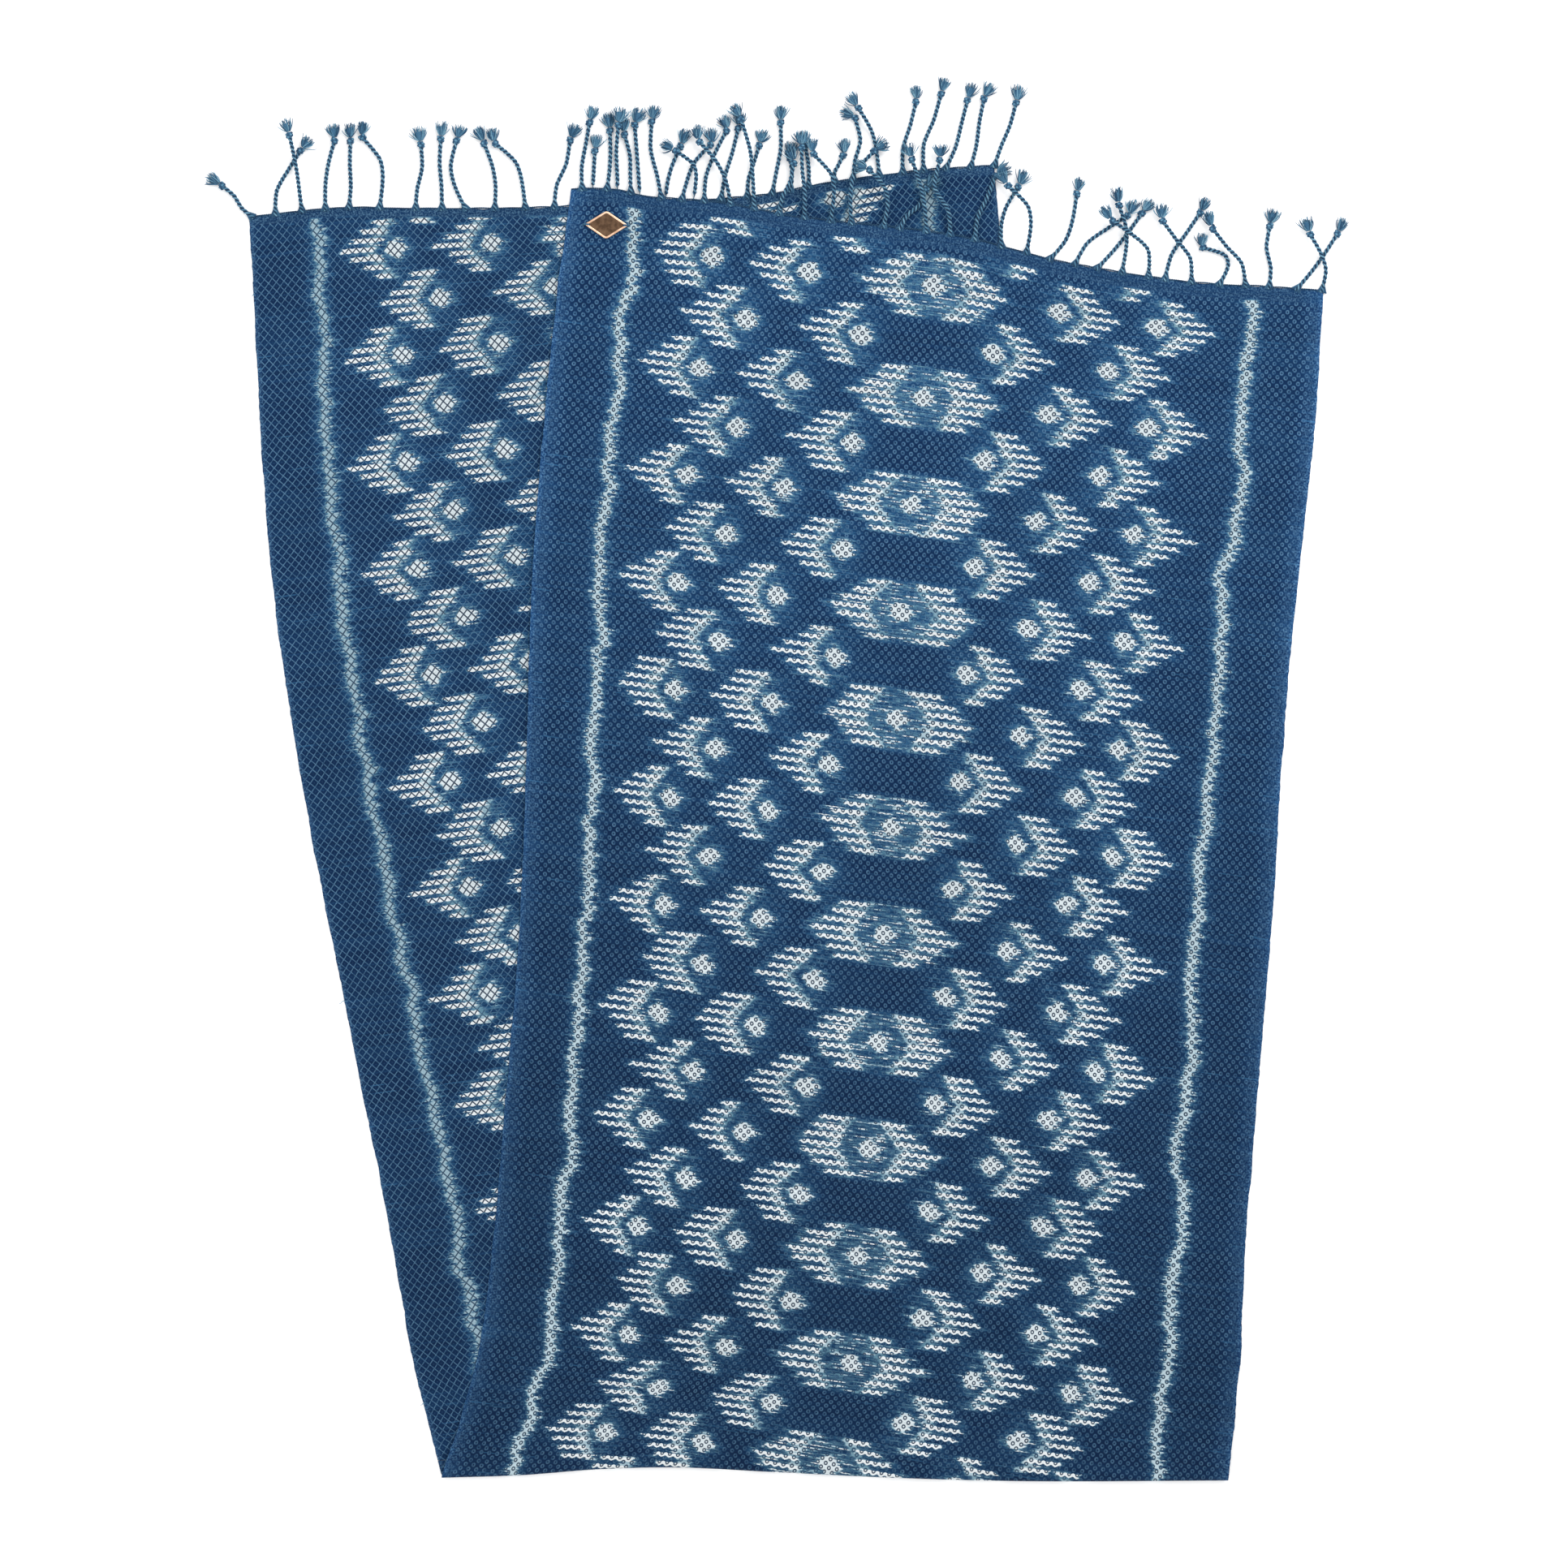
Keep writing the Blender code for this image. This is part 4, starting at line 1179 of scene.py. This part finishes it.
def chevron(motif, seed, spread, offset, cell, number, dash_pick, ragged):
    """Undyed weft of one column of motifs, and the pale blue that bleeds from it."""
    near = offset.absolute() / CELL_ALONG
    steps = near.round()
    chance = white_noise(cell + 0.31 * seed)
    end_chance = white_noise(cell + 0.31 * seed + 500.5)
    own = white_noise(number + 0.37 * seed + 900.5)
    depth = spread * -1.0 + motif.tip
    from_tip = depth - steps * (own * STEP_STRAY + TIP_STEP) + chance * TIP_STRAY - TIP_SLACK
    from_inner = depth - near * motif.slope - motif.reach
    dash = from_tip.soft(*DASH_TIP) * (from_inner + end_chance * INNER_STRAY).soft(*DASH_INNER)
    dash = dash * dash_pick * steps.below(DASH_ROWS)
    band = from_inner.soft(*BAND_START) * from_inner.soft(*BAND_END) * near.below(BAND_ROWS)
    band = band * (chance * BAND_DYE_STRAY + BAND_DYE)
    away_across = (spread - motif.eye) / EYE_HALF_WIDTH
    away_along = offset / EYE_HALF_LENGTH
    slanted = away_across.absolute() + away_along.absolute()
    rounded = (away_across * away_across + away_along * away_along).root()
    from_eye = slanted * (1.0 - EYE_ROUNDNESS) + rounded * EYE_ROUNDNESS
    eye = (from_eye + ragged * EYE_STRAY).soft(*EYE_EDGE) * EYE_DYE
    haze = from_tip.soft(*HAZE_TIP)
    if motif.eye:
        haze = haze * (spread - motif.eye).soft(*HAZE_INNER)
    halo = from_inner.soft(*HALO_START) * from_inner.soft(*HALO_END)
    glow = from_eye.soft(*GLOW_EDGE)
    bleed = (haze * motif.bleed).most(halo * HALO_DYE).most(glow * GLOW_DYE) * near.soft(*BLEED_ROWS)
    return dash.most(band).most(eye), bleed


# Every pick is shifted by a random amount of its own, one that it shares with its neighbour, and a slow one
PICK_SHIFT = 3.0
PAIR_SHIFT = 3.4
SLOW_SHIFT = 9.0
# The two halves of the cloth and the odd rows have random draws of their own
SIDE_STEP = 40.5
ODD_STEP = 300.0
DASH_SOFTNESS = 0.04
# The side stripe: how far it wanders, how ragged its edges are and how it bleeds
STRIPE_WANDER = 26.0
STRIPE_PAIR_STRAY = 1.6
STRIPE_PICK_STRAY = 2.6
STRIPE_FADE_OUT = 3.2
STRIPE_FADE_IN = 1.8
STRIPE_BLEED = 10.5
STRIPE_BLEED_DYE = 0.28
# Faint unevenness of the navy: streaks along the weft, clouds, bars across the cloth and stray pale picks
STREAK = (0.45, 0.80)
STREAK_DYE = 0.15
CLOUD = (0.42, 0.70)
CLOUD_DYE = 0.05
BAR = (0.52, 0.72)
BAR_DYE = 0.07
STRAY_PICKS = (0.955, 0.970)
STRAY_REACH = (0.48, 0.62)
STRAY_DYE = 0.36
# How fine noise breaks up what bleeds
FLECK = (0.34, 0.60)
FLECK_DYE = 0.75
BRIGHT_FLECK = (0.55, 0.70)
BRIGHT_FLECK_DYE = 0.85
BLEED_BASE = 0.38


def weft_dye(across, along, zigzag, scallop, side):
    """How much dye each pick of the weft has lost, from 0 for navy to 1 for undyed."""
    tree = across.tree
    pick = (along / PICK).floor()
    middle = (pick + 0.5) * PICK
    ragged = white_noise(pick) - 0.5
    double = white_noise((pick * 0.5).floor() + 7000.5)
    slow = smooth_noise(tree, vector(tree, along * 0.018, 3.7), 1.0, 2.0)
    shift = ragged * PICK_SHIFT + (double - 0.5) * PAIR_SHIFT + (slow - 0.5) * SLOW_SHIFT
    centred = across + shift - CENTRE_LINE
    spread = centred.absolute()
    row = middle - FIRST_ROW
    even = row.wrap(-HALF_REPEAT, HALF_REPEAT)
    odd = (row - HALF_REPEAT).wrap(-HALF_REPEAT, HALF_REPEAT)
    half = centred.soft(-1.0, 1.0) * SIDE_STEP
    cell = (row / CELL_ALONG).round() + half
    even_number = (row / REPEAT).round() + half
    odd_number = (row / REPEAT - 0.5).round() + half + ODD_STEP
    phase = ((along - FIRST_ROW) / CELL_ALONG + 0.5).fraction()
    edge = (phase - 0.5 + zigzag).absolute() + scallop
    dash_pick = edge.soft(side.dash + DASH_SOFTNESS, side.dash - DASH_SOFTNESS)
    undyed = None
    bleed = None
    for seed, motif in enumerate(MOTIFS, 1):
        offset, number = (even, even_number) if motif.rows == "even" else (odd, odd_number)
        core, halo = chevron(motif, seed, spread, offset, cell, number, dash_pick, ragged)
        undyed = core if undyed is None else undyed.most(core)
        bleed = halo if bleed is None else bleed.most(halo)
    wander = smooth_noise(tree, vector(tree, along * 0.027, half), 1.0, 2.6)
    place = spread - half * (RIGHT_STRIPE_SHIFT / SIDE_STEP) - STRIPE_FROM_CENTRE
    stripe = (place + (wander - 0.5) * STRIPE_WANDER).absolute() + double * STRIPE_PAIR_STRAY
    stripe = stripe + white_noise(pick + 77.7) * STRIPE_PICK_STRAY
    line = stripe.soft(STRIPE_HALF_WIDTH + STRIPE_FADE_OUT, STRIPE_HALF_WIDTH - STRIPE_FADE_IN) * side.stripe
    line_bleed = stripe.soft(STRIPE_HALF_WIDTH + STRIPE_BLEED, STRIPE_HALF_WIDTH) * STRIPE_BLEED_DYE
    fine = cloth_noise(across, pick, 0.060, 5.37)
    streak = cloth_noise(across, pick, 0.011, 0.37)
    cloud = cloth_noise(across, along, 0.017, 0.030, 2.0)
    bars = smooth_noise(tree, vector(tree, along * 0.060, 9.1))
    base = streak.soft(*STREAK) * STREAK_DYE + cloud.soft(*CLOUD) * CLOUD_DYE + bars.soft(*BAR) * BAR_DYE
    stray = white_noise(pick + 0.123).soft(*STRAY_PICKS) * fine.soft(*STRAY_REACH) * STRAY_DYE
    flecks = fine.soft(*FLECK) * FLECK_DYE + fine.soft(*BRIGHT_FLECK) * BRIGHT_FLECK_DYE + BLEED_BASE
    return base.most(stray).most(bleed.most(line_bleed) * flecks).most(undyed.most(line)), pick


def lattice(across, along, lead):
    """Places in the diamond lattice of the bird's-eye twill.

    The first is 0 at the middle of each diamond and 1 on the lines between them, the second is the round
    distance from the middle, and the third is 0 across the middles of one row of diamonds and 1 between.
    """
    place_across = ((across / CELL_ACROSS).fraction() - 0.5).absolute() * 2.0
    place_along = (((along - FIRST_ROW) / CELL_ALONG + lead).fraction() - 0.5).absolute() * 2.0
    slanted = place_across + place_along
    diamond = slanted.least(slanted * -1.0 + 2.0)
    first = (place_across * place_across + place_along * place_along).root()
    other_across = place_across - 1.0
    other_along = place_along - 1.0
    second = (other_across * other_across + other_along * other_along).root()
    return diamond, first.least(second), place_across


# What sets the two sides of the cloth apart: how far the diamonds lead the dashes, the zigzag and the scallop
# of a dash and its half width, how white the stripe is, how the plain weave starts at the fringe end and at
# the selvedge, the warp's colour, and how the depth of colour changes: lighter at the selvedge, with a
# painted highlight at its very edge, and lighter towards the fringe from painted sheen
SIDE_FIELDS = "lead zigzag scallop dash stripe heading selvedge plain lit tone broad narrow far base"
Side = namedtuple("Side", SIDE_FIELDS)
FACE = Side(
    lead=0.67, zigzag=0.20, scallop=0.0, dash=0.21, stripe=0.84, heading=(11.0, 8.5), selvedge=(13.0, 4.0),
    plain=0.7, lit=WARP_LIT, tone=0.1, broad=0.34, narrow=0.48, far=0.34, base=0.95,
)
REVERSE = Side(
    lead=0.75, zigzag=0.0, scallop=0.11, dash=0.33, stripe=0.74, heading=(7.0, 5.0), selvedge=(4.5, 1.2),
    plain=0.8, lit=NET_LIT, tone=-0.1, broad=0.08, narrow=0.28, far=0.16, base=0.865,
)

# The warp shows as rings on the face, and on the reverse as a net of lines with weak dots
RING_INNER = (0.14, 0.26)
RING_OUTER = (0.57, 0.45)
RING_ZIGZAG = (0.15, 0.40)
NET_LINE = (0.79, 0.92)
NET_LINE_IN_WHITE = 0.09
NET_DOT = (0.22, 0.10)
NET_DOT_COVER = 0.25
MOTTLE = (0.40, 0.64)
PLAIN_COVER = 0.8
WARP_COVER = 0.95
WARP_SPACING = 0.48
HEADING_DYE = 0.10
SWAY = 5.0
IN_WHITE = (0.42, 0.85)
# Painted sheen lightens the cloth away from the fold; the colour lightens towards the selvedges, with a
# painted highlight at the very edge
FOLD_PLACE = 920.0
SHEEN_FROM_FOLD = (40.0, 920.0)
BROAD_EDGE = (19.0, 3.5)
NARROW_EDGE_HIGHLIGHT = (4.6, 0.8)
SPECK = (0.35, 0.65)


def warp_cover(across, along, heading, from_side, diamond, ring, side, in_white=0.0):
    """Where the warp lies on top: rings on the face, a net of lines and dots on the reverse."""
    if side is FACE:
        warp = ring.soft(*RING_INNER) * ring.soft(*RING_OUTER)
    else:
        lines = (diamond + in_white * NET_LINE_IN_WHITE).soft(*NET_LINE)
        warp = lines.most(diamond.soft(*NET_DOT) * NET_DOT_COVER)
    plain = heading.most(from_side.soft(*side.selvedge) * side.plain)
    mottled = cloth_noise(across, along, 0.75, 0.75).soft(*MOTTLE)
    return warp * plain.inverse() + mottled * plain * PLAIN_COVER


def depth_with_painted_sheen(along, from_side, side):
    """The colour is lighter towards the fringe ends and darker near the fold, a painted sheen; it is also
    lighter towards the selvedges, with a painted highlight over the last few millimetres of the edge.
    """
    end_sheen = (along - FOLD_PLACE).absolute().soft(*SHEEN_FROM_FOLD)
    edge = from_side.soft(*BROAD_EDGE) * side.broad + from_side.soft(*NARROW_EDGE_HIGHLIGHT) * side.narrow + 1.0
    return (end_sheen * side.far + (side.base - side.far)) * edge


def yarn_height(across, along, raised):
    """The relief of the weave: the warp on top, and the single yarns of warp and weft."""
    ends = across.wave(WARP_SPACING) * raised
    picks = along.wave(0.5 * PICK) * raised.inverse()
    return raised * 0.5 + ends * 0.18 + picks * 0.18


def cloth_material(name, side):
    """Indigo cotton: dyed weft and mid-blue warp in a diamond lattice, seen from the face or reverse."""
    material, tree = new_material(name)
    across, along = uv_terms(tree, "Cloth")
    from_end, from_side = uv_terms(tree, "Edges")
    across = across + (cloth_noise(across, along, 0.02, 0.02) - 0.5) * SWAY
    diamond, ring, place_across = lattice(across, along, side.lead)
    zigzag = (place_across - 0.5) * ring.soft(*RING_ZIGZAG) * side.zigzag if side.zigzag else 0.0
    scallop = place_across * side.scallop if side.scallop else 0.0
    dye, pick = weft_dye(across, along, zigzag, scallop, side)
    heading = from_end.soft(*side.heading)
    dye = dye * heading.inverse() + heading * HEADING_DYE
    in_white = dye.soft(*IN_WHITE)
    raised = warp_cover(across, along, heading, from_side, diamond, ring, side)
    warp = raised
    if side is REVERSE:
        warp = warp_cover(across, along, heading, from_side, diamond, ring, side, in_white)
    weft_colour = ramp(dye, DYES)
    arc = (across * (2.0 / CELL_ACROSS)).floor() * 7.13 + (along * (2.0 / CELL_ALONG)).floor() * 3.71
    speck = cloth_noise(across, along, 0.9, 0.35).soft(*SPECK)
    tone = speck * 0.6 + white_noise(arc) * 0.6 - side.tone
    warp_colour = mix(in_white, mix(tone, WARP_SHADED, side.lit), WARP_IN_WHITE)
    colour = mix(warp * WARP_COVER, weft_colour, warp_colour)
    grain = cloth_noise(across, along, 1.6, 1.6) * 0.60 - 0.30
    # each pick is painted lighter over one half and darker over the other, as light and shade on the weft's
    # rounding, and differs at random in tone
    thread = along.wave(PICK) * 0.06 + white_noise(pick + 0.7) * 0.16 + 0.92
    patch = cloth_noise(across, along, 0.008, 0.008, 2.0) * 0.24 + 0.88
    # painted sheen towards the fringe ends and a painted highlight at the selvedges
    depth = depth_with_painted_sheen(along, from_side, side)
    depth = depth * in_white.inverse() + in_white
    shade = (thread + grain) * patch * depth
    full = Term(tree, add_node(tree, "Value", {}))
    full.socket.default_value = 1.0
    colour = mix(full, colour, add_node(tree, "CombineColor", {0: shade, 1: shade, 2: shade}), "MULTIPLY")
    inputs = {
        "Base Color": colour, "Roughness": cloth_noise(across, along, 0.5, 0.5) * 0.12 + 0.82,
        "Specular IOR Level": 0.08, "Sheen Weight": 0.02, "Sheen Roughness": 0.5,
    }
    finish_material(tree, inputs, yarn_height(across, along, raised), 0.55, 0.0004)
    return material


# The yarn's colours, kept as Dye rows: from painted shade in its creases, through its navy, to painted light
# on its crests
YARN_SHADE_RAMP = [
    Dye(0.00, 0.0060, 0.0240, 0.0600),
    Dye(0.30, 0.0200, 0.0720, 0.1450),
    Dye(0.65, 0.0700, 0.1850, 0.2900),
    Dye(1.00, 0.2200, 0.3950, 0.4900),
]


def yarn_material():
    """Two-ply indigo cotton, with painted shade between its plies and painted light where they stand out."""
    material, tree = new_material("fringe_yarn")
    place = add_node(tree, "TexCoord", {}, "Object")
    fibre = smooth_noise(tree, place, 1400.0, 2.0)
    patch = smooth_noise(tree, place, 60.0, 2.0)
    shade = Term(tree, add_node(tree, "Attribute", {}, "Fac", attribute_name="shade"))
    # the shade attribute carries the painted shade and light of the cords, knots and tufts
    tone = shade * 0.85 + (fibre - 0.5) * 0.5 + (patch - 0.5) * 0.30
    inputs = {
        "Base Color": ramp(tone, YARN_SHADE_RAMP), "Roughness": fibre * 0.15 + 0.80,
        "Specular IOR Level": 0.2, "Sheen Weight": 0.05,
    }
    finish_material(tree, inputs, fibre, 0.5, 0.0003)
    return material


def metal_material(name, dark, light, smooth, rough):
    """Cast metal with a cloudy patina, from smooth to rough."""
    material, tree = new_material(name)
    place = add_node(tree, "TexCoord", {}, "Object")
    cloud = smooth_noise(tree, place, 260.0, 4.0)
    grain = smooth_noise(tree, place, 2600.0, 2.0)
    tone = cloud.soft(0.3, 0.7) * 0.8 + grain * 0.2
    roughness = cloud * (rough - smooth) + smooth
    inputs = {"Base Color": mix(tone, dark, light), "Roughness": roughness, "Metallic": 1.0}
    finish_material(tree, inputs, grain, 0.35, 0.0002)
    return material


# How round a lozenge is at its points and at its broad corners, and the points of each corner
LOZENGE_ROUNDNESS = (0.6, 3.0)
CORNER_STEPS = 4


def lozenge(half_length, half_breadth, rounding, height):
    """The outline of a lozenge, rounder where it is broad, counter-clockwise, at a height."""
    right = Vector((half_length, 0))
    top = Vector((0, half_breadth))
    tips = [right, top, -right, -top]
    points = []
    for index, tip in enumerate(tips):
        corner = rounding * LOZENGE_ROUNDNESS[index % 2]
        before = (tips[index - 1] - tip).normalized() * corner
        after = (tips[(index + 1) % 4] - tip).normalized() * corner
        for step in range(CORNER_STEPS + 1):
            share = step / CORNER_STEPS
            points.append(flat(tip + before * (1.0 - share) ** 2 + after * share ** 2, height))
    return points


# A loop of the plate's profile: how far in from the outline it lies, and its height
Loop = namedtuple("Loop", "inset height")
PLATE_LOOPS = [
    Loop(0.35, 0.0), Loop(0.0, 0.25), Loop(0.0, 0.95), Loop(0.18, 1.2), Loop(0.45, 1.3), Loop(1.05, 1.3),
    Loop(1.3, 1.2), Loop(1.5, 0.95), Loop(1.75, 0.9),
]
RIM_LOOPS = range(2, 7)
PLATE_LIFT = 0.1


def make_plate(shift, rim, centre):
    """A bronze lozenge with a rounded bright rim, a sunk dark field, dark sides that paint the shade along
    its outline, and two stitch holes.
    """
    surface = Surface(Vector())
    ratio = PLATE_BREADTH / PLATE_LENGTH
    rings = []
    for inset, height in PLATE_LOOPS:
        half_length = 0.5 * PLATE_LENGTH - inset * math.hypot(1.0, ratio) / ratio
        outline = lozenge(half_length, half_length * ratio, max(0.9 - 0.25 * inset, 0.3), height)
        rings.append([surface.point(spot) for spot in outline])
    count = len(rings[0])
    for number, (low, high) in enumerate(zip(rings, rings[1:])):
        for index in range(count):
            following = (index + 1) % count
            # the sides, the sunk field and the caps take the dark bronze; on the sides it is a painted dark
            # outline for the shade at the plate's edge
            slot = 0 if number in RIM_LOOPS else 1
            surface.face((low[index], low[following], high[following], high[index]), slot)
    surface.face(tuple(rings[0][::-1]), 1)
    surface.face(tuple(rings[-1]), 1)
    plate = surface.build("bronze_lozenge", [rim, centre], 50.0)
    cut_stitch_holes(plate)
    x, y = PLATE_CENTRE
    z = upper_rest(x, y) + CLOTH_THICKNESS + SEAM_GAP + PLATE_LIFT
    turn = Matrix.Rotation(math.radians(PLATE_TURN), 4, "Z")
    plate.data.transform(Matrix.Translation(shift + Vector((x, y, z)) * MM) @ turn)
    return plate


def cut_stitch_holes(plate):
    """A round hole near each point of the plate."""
    for sign in (-1.0, 1.0):
        bpy.ops.mesh.primitive_cylinder_add(
            vertices=20,
            radius=PLATE_HOLE_RADIUS * MM,
            depth=6.0 * PLATE_THICKNESS * MM,
            location=(sign * (0.5 * PLATE_LENGTH - PLATE_HOLE_INSET) * MM, 0.0, 0.0),
        )
        cutter = bpy.context.object
        hole = plate.modifiers.new("Stitch hole", "BOOLEAN")
        hole.operation = "DIFFERENCE"
        hole.solver = "EXACT"
        hole.object = cutter
        bpy.context.view_layer.update()
        graph = bpy.context.evaluated_depsgraph_get()
        mesh = bpy.data.meshes.new_from_object(plate.evaluated_get(graph))
        plate.modifiers.clear()
        plate.data = mesh
        bpy.data.objects.remove(cutter, do_unlink=True)


# A stitch: its places past the plate's point and their heights over the cloth, its thread and its pair's gap
StitchPlace = namedtuple("StitchPlace", "reach height")
STITCH_PLACES = [
    StitchPlace(-3.7, 0.6), StitchPlace(-3.5, 1.3), StitchPlace(-2.4, 2.0),
    StitchPlace(-0.6, 2.1), StitchPlace(0.7, 1.2), StitchPlace(1.1, 0.1),
]
STITCH_RADIUS = 0.34
STITCH_OFFSET = 0.35


def make_stitches(shift, material):
    """Blue thread that comes up through each hole and goes over the rim into the cloth."""
    surface = Surface(shift)
    x, y = PLATE_CENTRE
    base = upper_rest(x, y) + CLOTH_THICKNESS
    turn = math.radians(PLATE_TURN)
    for sign in (-1.0, 1.0):
        for offset in (-STITCH_OFFSET, STITCH_OFFSET):
            points = []
            for reach, height in STITCH_PLACES:
                along = sign * (0.5 * PLATE_LENGTH + reach)
                spot_x = x + along * math.cos(turn) - offset * math.sin(turn)
                spot_y = y + along * math.sin(turn) + offset * math.cos(turn)
                points.append((Vector((spot_x, spot_y, base + height)), STITCH_RADIUS))
            tube(surface, spline(points, 0.4), 7, (0.2, 0.5))
    return surface.build("plate_stitches", [material])


# A weft end that stands out of the lower stretch's left selvedge: where along it, and how far
LooseEnd = namedtuple("LooseEnd", "share reach")
LOOSE_ENDS = [LooseEnd(0.62, 5.0), LooseEnd(0.06, 2.5), LooseEnd(0.94, 3.0)]


def make_loose_threads(shift, material):
    """A few ends of weft that stand out of the selvedge."""
    surface = Surface(shift)
    chance = random.Random(17)
    for share, reach in LOOSE_ENDS:
        x, y = lower_point(0.0, share)
        points = []
        for step in range(5):
            along = step / 4.0
            side = chance.uniform(-0.6, 0.6) - 2.0 * along * along
            points.append((Vector((x + 1.0 - reach * along, y + side, 0.9)), 0.28 - 0.12 * along))
        tube(surface, spline(points, 0.6), 5, (0.4, 0.9))
    return surface.build("loose_threads", [material])


WHITE = (1.0, 1.0, 1.0, 1.0)
PAPER = (0.98, 0.98, 0.98, 1.0)
PAPER_GLOW = 0.05
TABLE_SIZE = 14.0
TABLE_LEVEL = -0.0004
WORLD_LIGHT = 1.12

# A soft square lamp: its place in metres, its size and its power
Lamp = namedtuple("Lamp", "name place size power")
LAMPS = [Lamp("key", (0.8, 1.3, 1.8), 1.2, 21.0), Lamp("fill", (-1.4, -0.9, 1.9), 2.0, 8.0)]


def dress_stage():
    """A white table, soft light from all round, and a weak soft light from the top of the picture."""
    bpy.ops.mesh.primitive_plane_add(size=TABLE_SIZE, location=(0.0, 0.0, TABLE_LEVEL))
    floor = bpy.context.object
    floor.name = "white_table"
    paper, tree = new_material("white_paper")
    inputs = tree.nodes["Principled BSDF"].inputs
    inputs["Base Color"].default_value = PAPER
    inputs["Emission Color"].default_value = WHITE
    inputs["Emission Strength"].default_value = PAPER_GLOW
    inputs["Roughness"].default_value = 0.9
    inputs["Specular IOR Level"].default_value = 0.1
    floor.data.materials.append(paper)
    world = bpy.data.worlds.new("studio")
    world.use_nodes = True
    background = world.node_tree.nodes["Background"]
    background.inputs["Color"].default_value = WHITE
    background.inputs["Strength"].default_value = WORLD_LIGHT
    bpy.context.scene.world = world
    for lamp in LAMPS:
        add_light(lamp)


def add_light(lamp):
    light = bpy.data.lights.new(lamp.name, "AREA")
    light.size = lamp.size
    light.energy = lamp.power
    item = bpy.data.objects.new(lamp.name, light)
    item.location = lamp.place
    item.rotation_euler = Vector(lamp.place).to_track_quat("Z", "Y").to_euler()
    bpy.context.scene.collection.objects.link(item)


# The camera: its height and the width of its picture in metres, and the picture's middle in the tables
CAMERA_HEIGHT = 3.2
PICTURE_WIDTH = 1.1302
PICTURE_MIDDLE = Vector((4.4, -1.5, 0.0))
SENSOR_WIDTH = 36.0


def set_camera(shift):
    """Straight above the middle of the picture."""
    lens = bpy.data.cameras.new("camera")
    lens.sensor_width = SENSOR_WIDTH
    lens.lens = SENSOR_WIDTH * CAMERA_HEIGHT / PICTURE_WIDTH
    item = bpy.data.objects.new("camera", lens)
    item.location = PICTURE_MIDDLE * MM + shift
    item.location.z = CAMERA_HEIGHT
    bpy.context.scene.collection.objects.link(item)
    bpy.context.scene.camera = item


def dress_scarf(shift):
    """All pieces of the scarf, each on its solid."""
    face = cloth_material("cloth_face", FACE)
    reverse = cloth_material("cloth_reverse", REVERSE)
    yarn = yarn_material()
    rim = metal_material("rim_copper", (0.62, 0.36, 0.22, 1.0), (0.95, 0.66, 0.48, 1.0), 0.18, 0.42)
    bronze = metal_material("dark_bronze", (0.055, 0.032, 0.020, 1.0), (0.15, 0.09, 0.055, 1.0), 0.38, 0.62)
    columns = cloth_columns()
    rows = upper_rows(columns)
    upper = cloth_shell("upper_cloth", rows, columns, shift, [face, reverse])
    tail_rows = lower_rows(columns, rows[-1].along)
    lower = cloth_shell("lower_cloth", tail_rows, columns, shift, [reverse, face])
    upper_yarns = make_fringe("upper_yarns", UPPER_STRANDS, upper_point, upper_fringe_rest, shift, yarn, 5)
    lower_yarns = make_fringe("lower_yarns", LOWER_STRANDS, lower_point, lower_rest, shift, yarn, 6)
    plate = make_plate(shift, rim, bronze)
    stitches = make_stitches(shift, yarn)
    threads = make_loose_threads(shift, yarn)
    for piece, node in (
        (upper, "upper_stretch"),
        (lower, "lower_stretch"),
        (upper_yarns, "upper_fringe"),
        (lower_yarns, "lower_fringe"),
        (plate, "label_plate"),
    ):
        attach(piece, "root")
        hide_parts(node)
    for piece in (stitches, threads):
        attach(piece, "root")


def main():
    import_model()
    shift = frame_shift()
    dress_scarf(shift)
    dress_stage()
    set_camera(shift)
    bpy.context.scene.view_settings.view_transform = "Standard"


main()
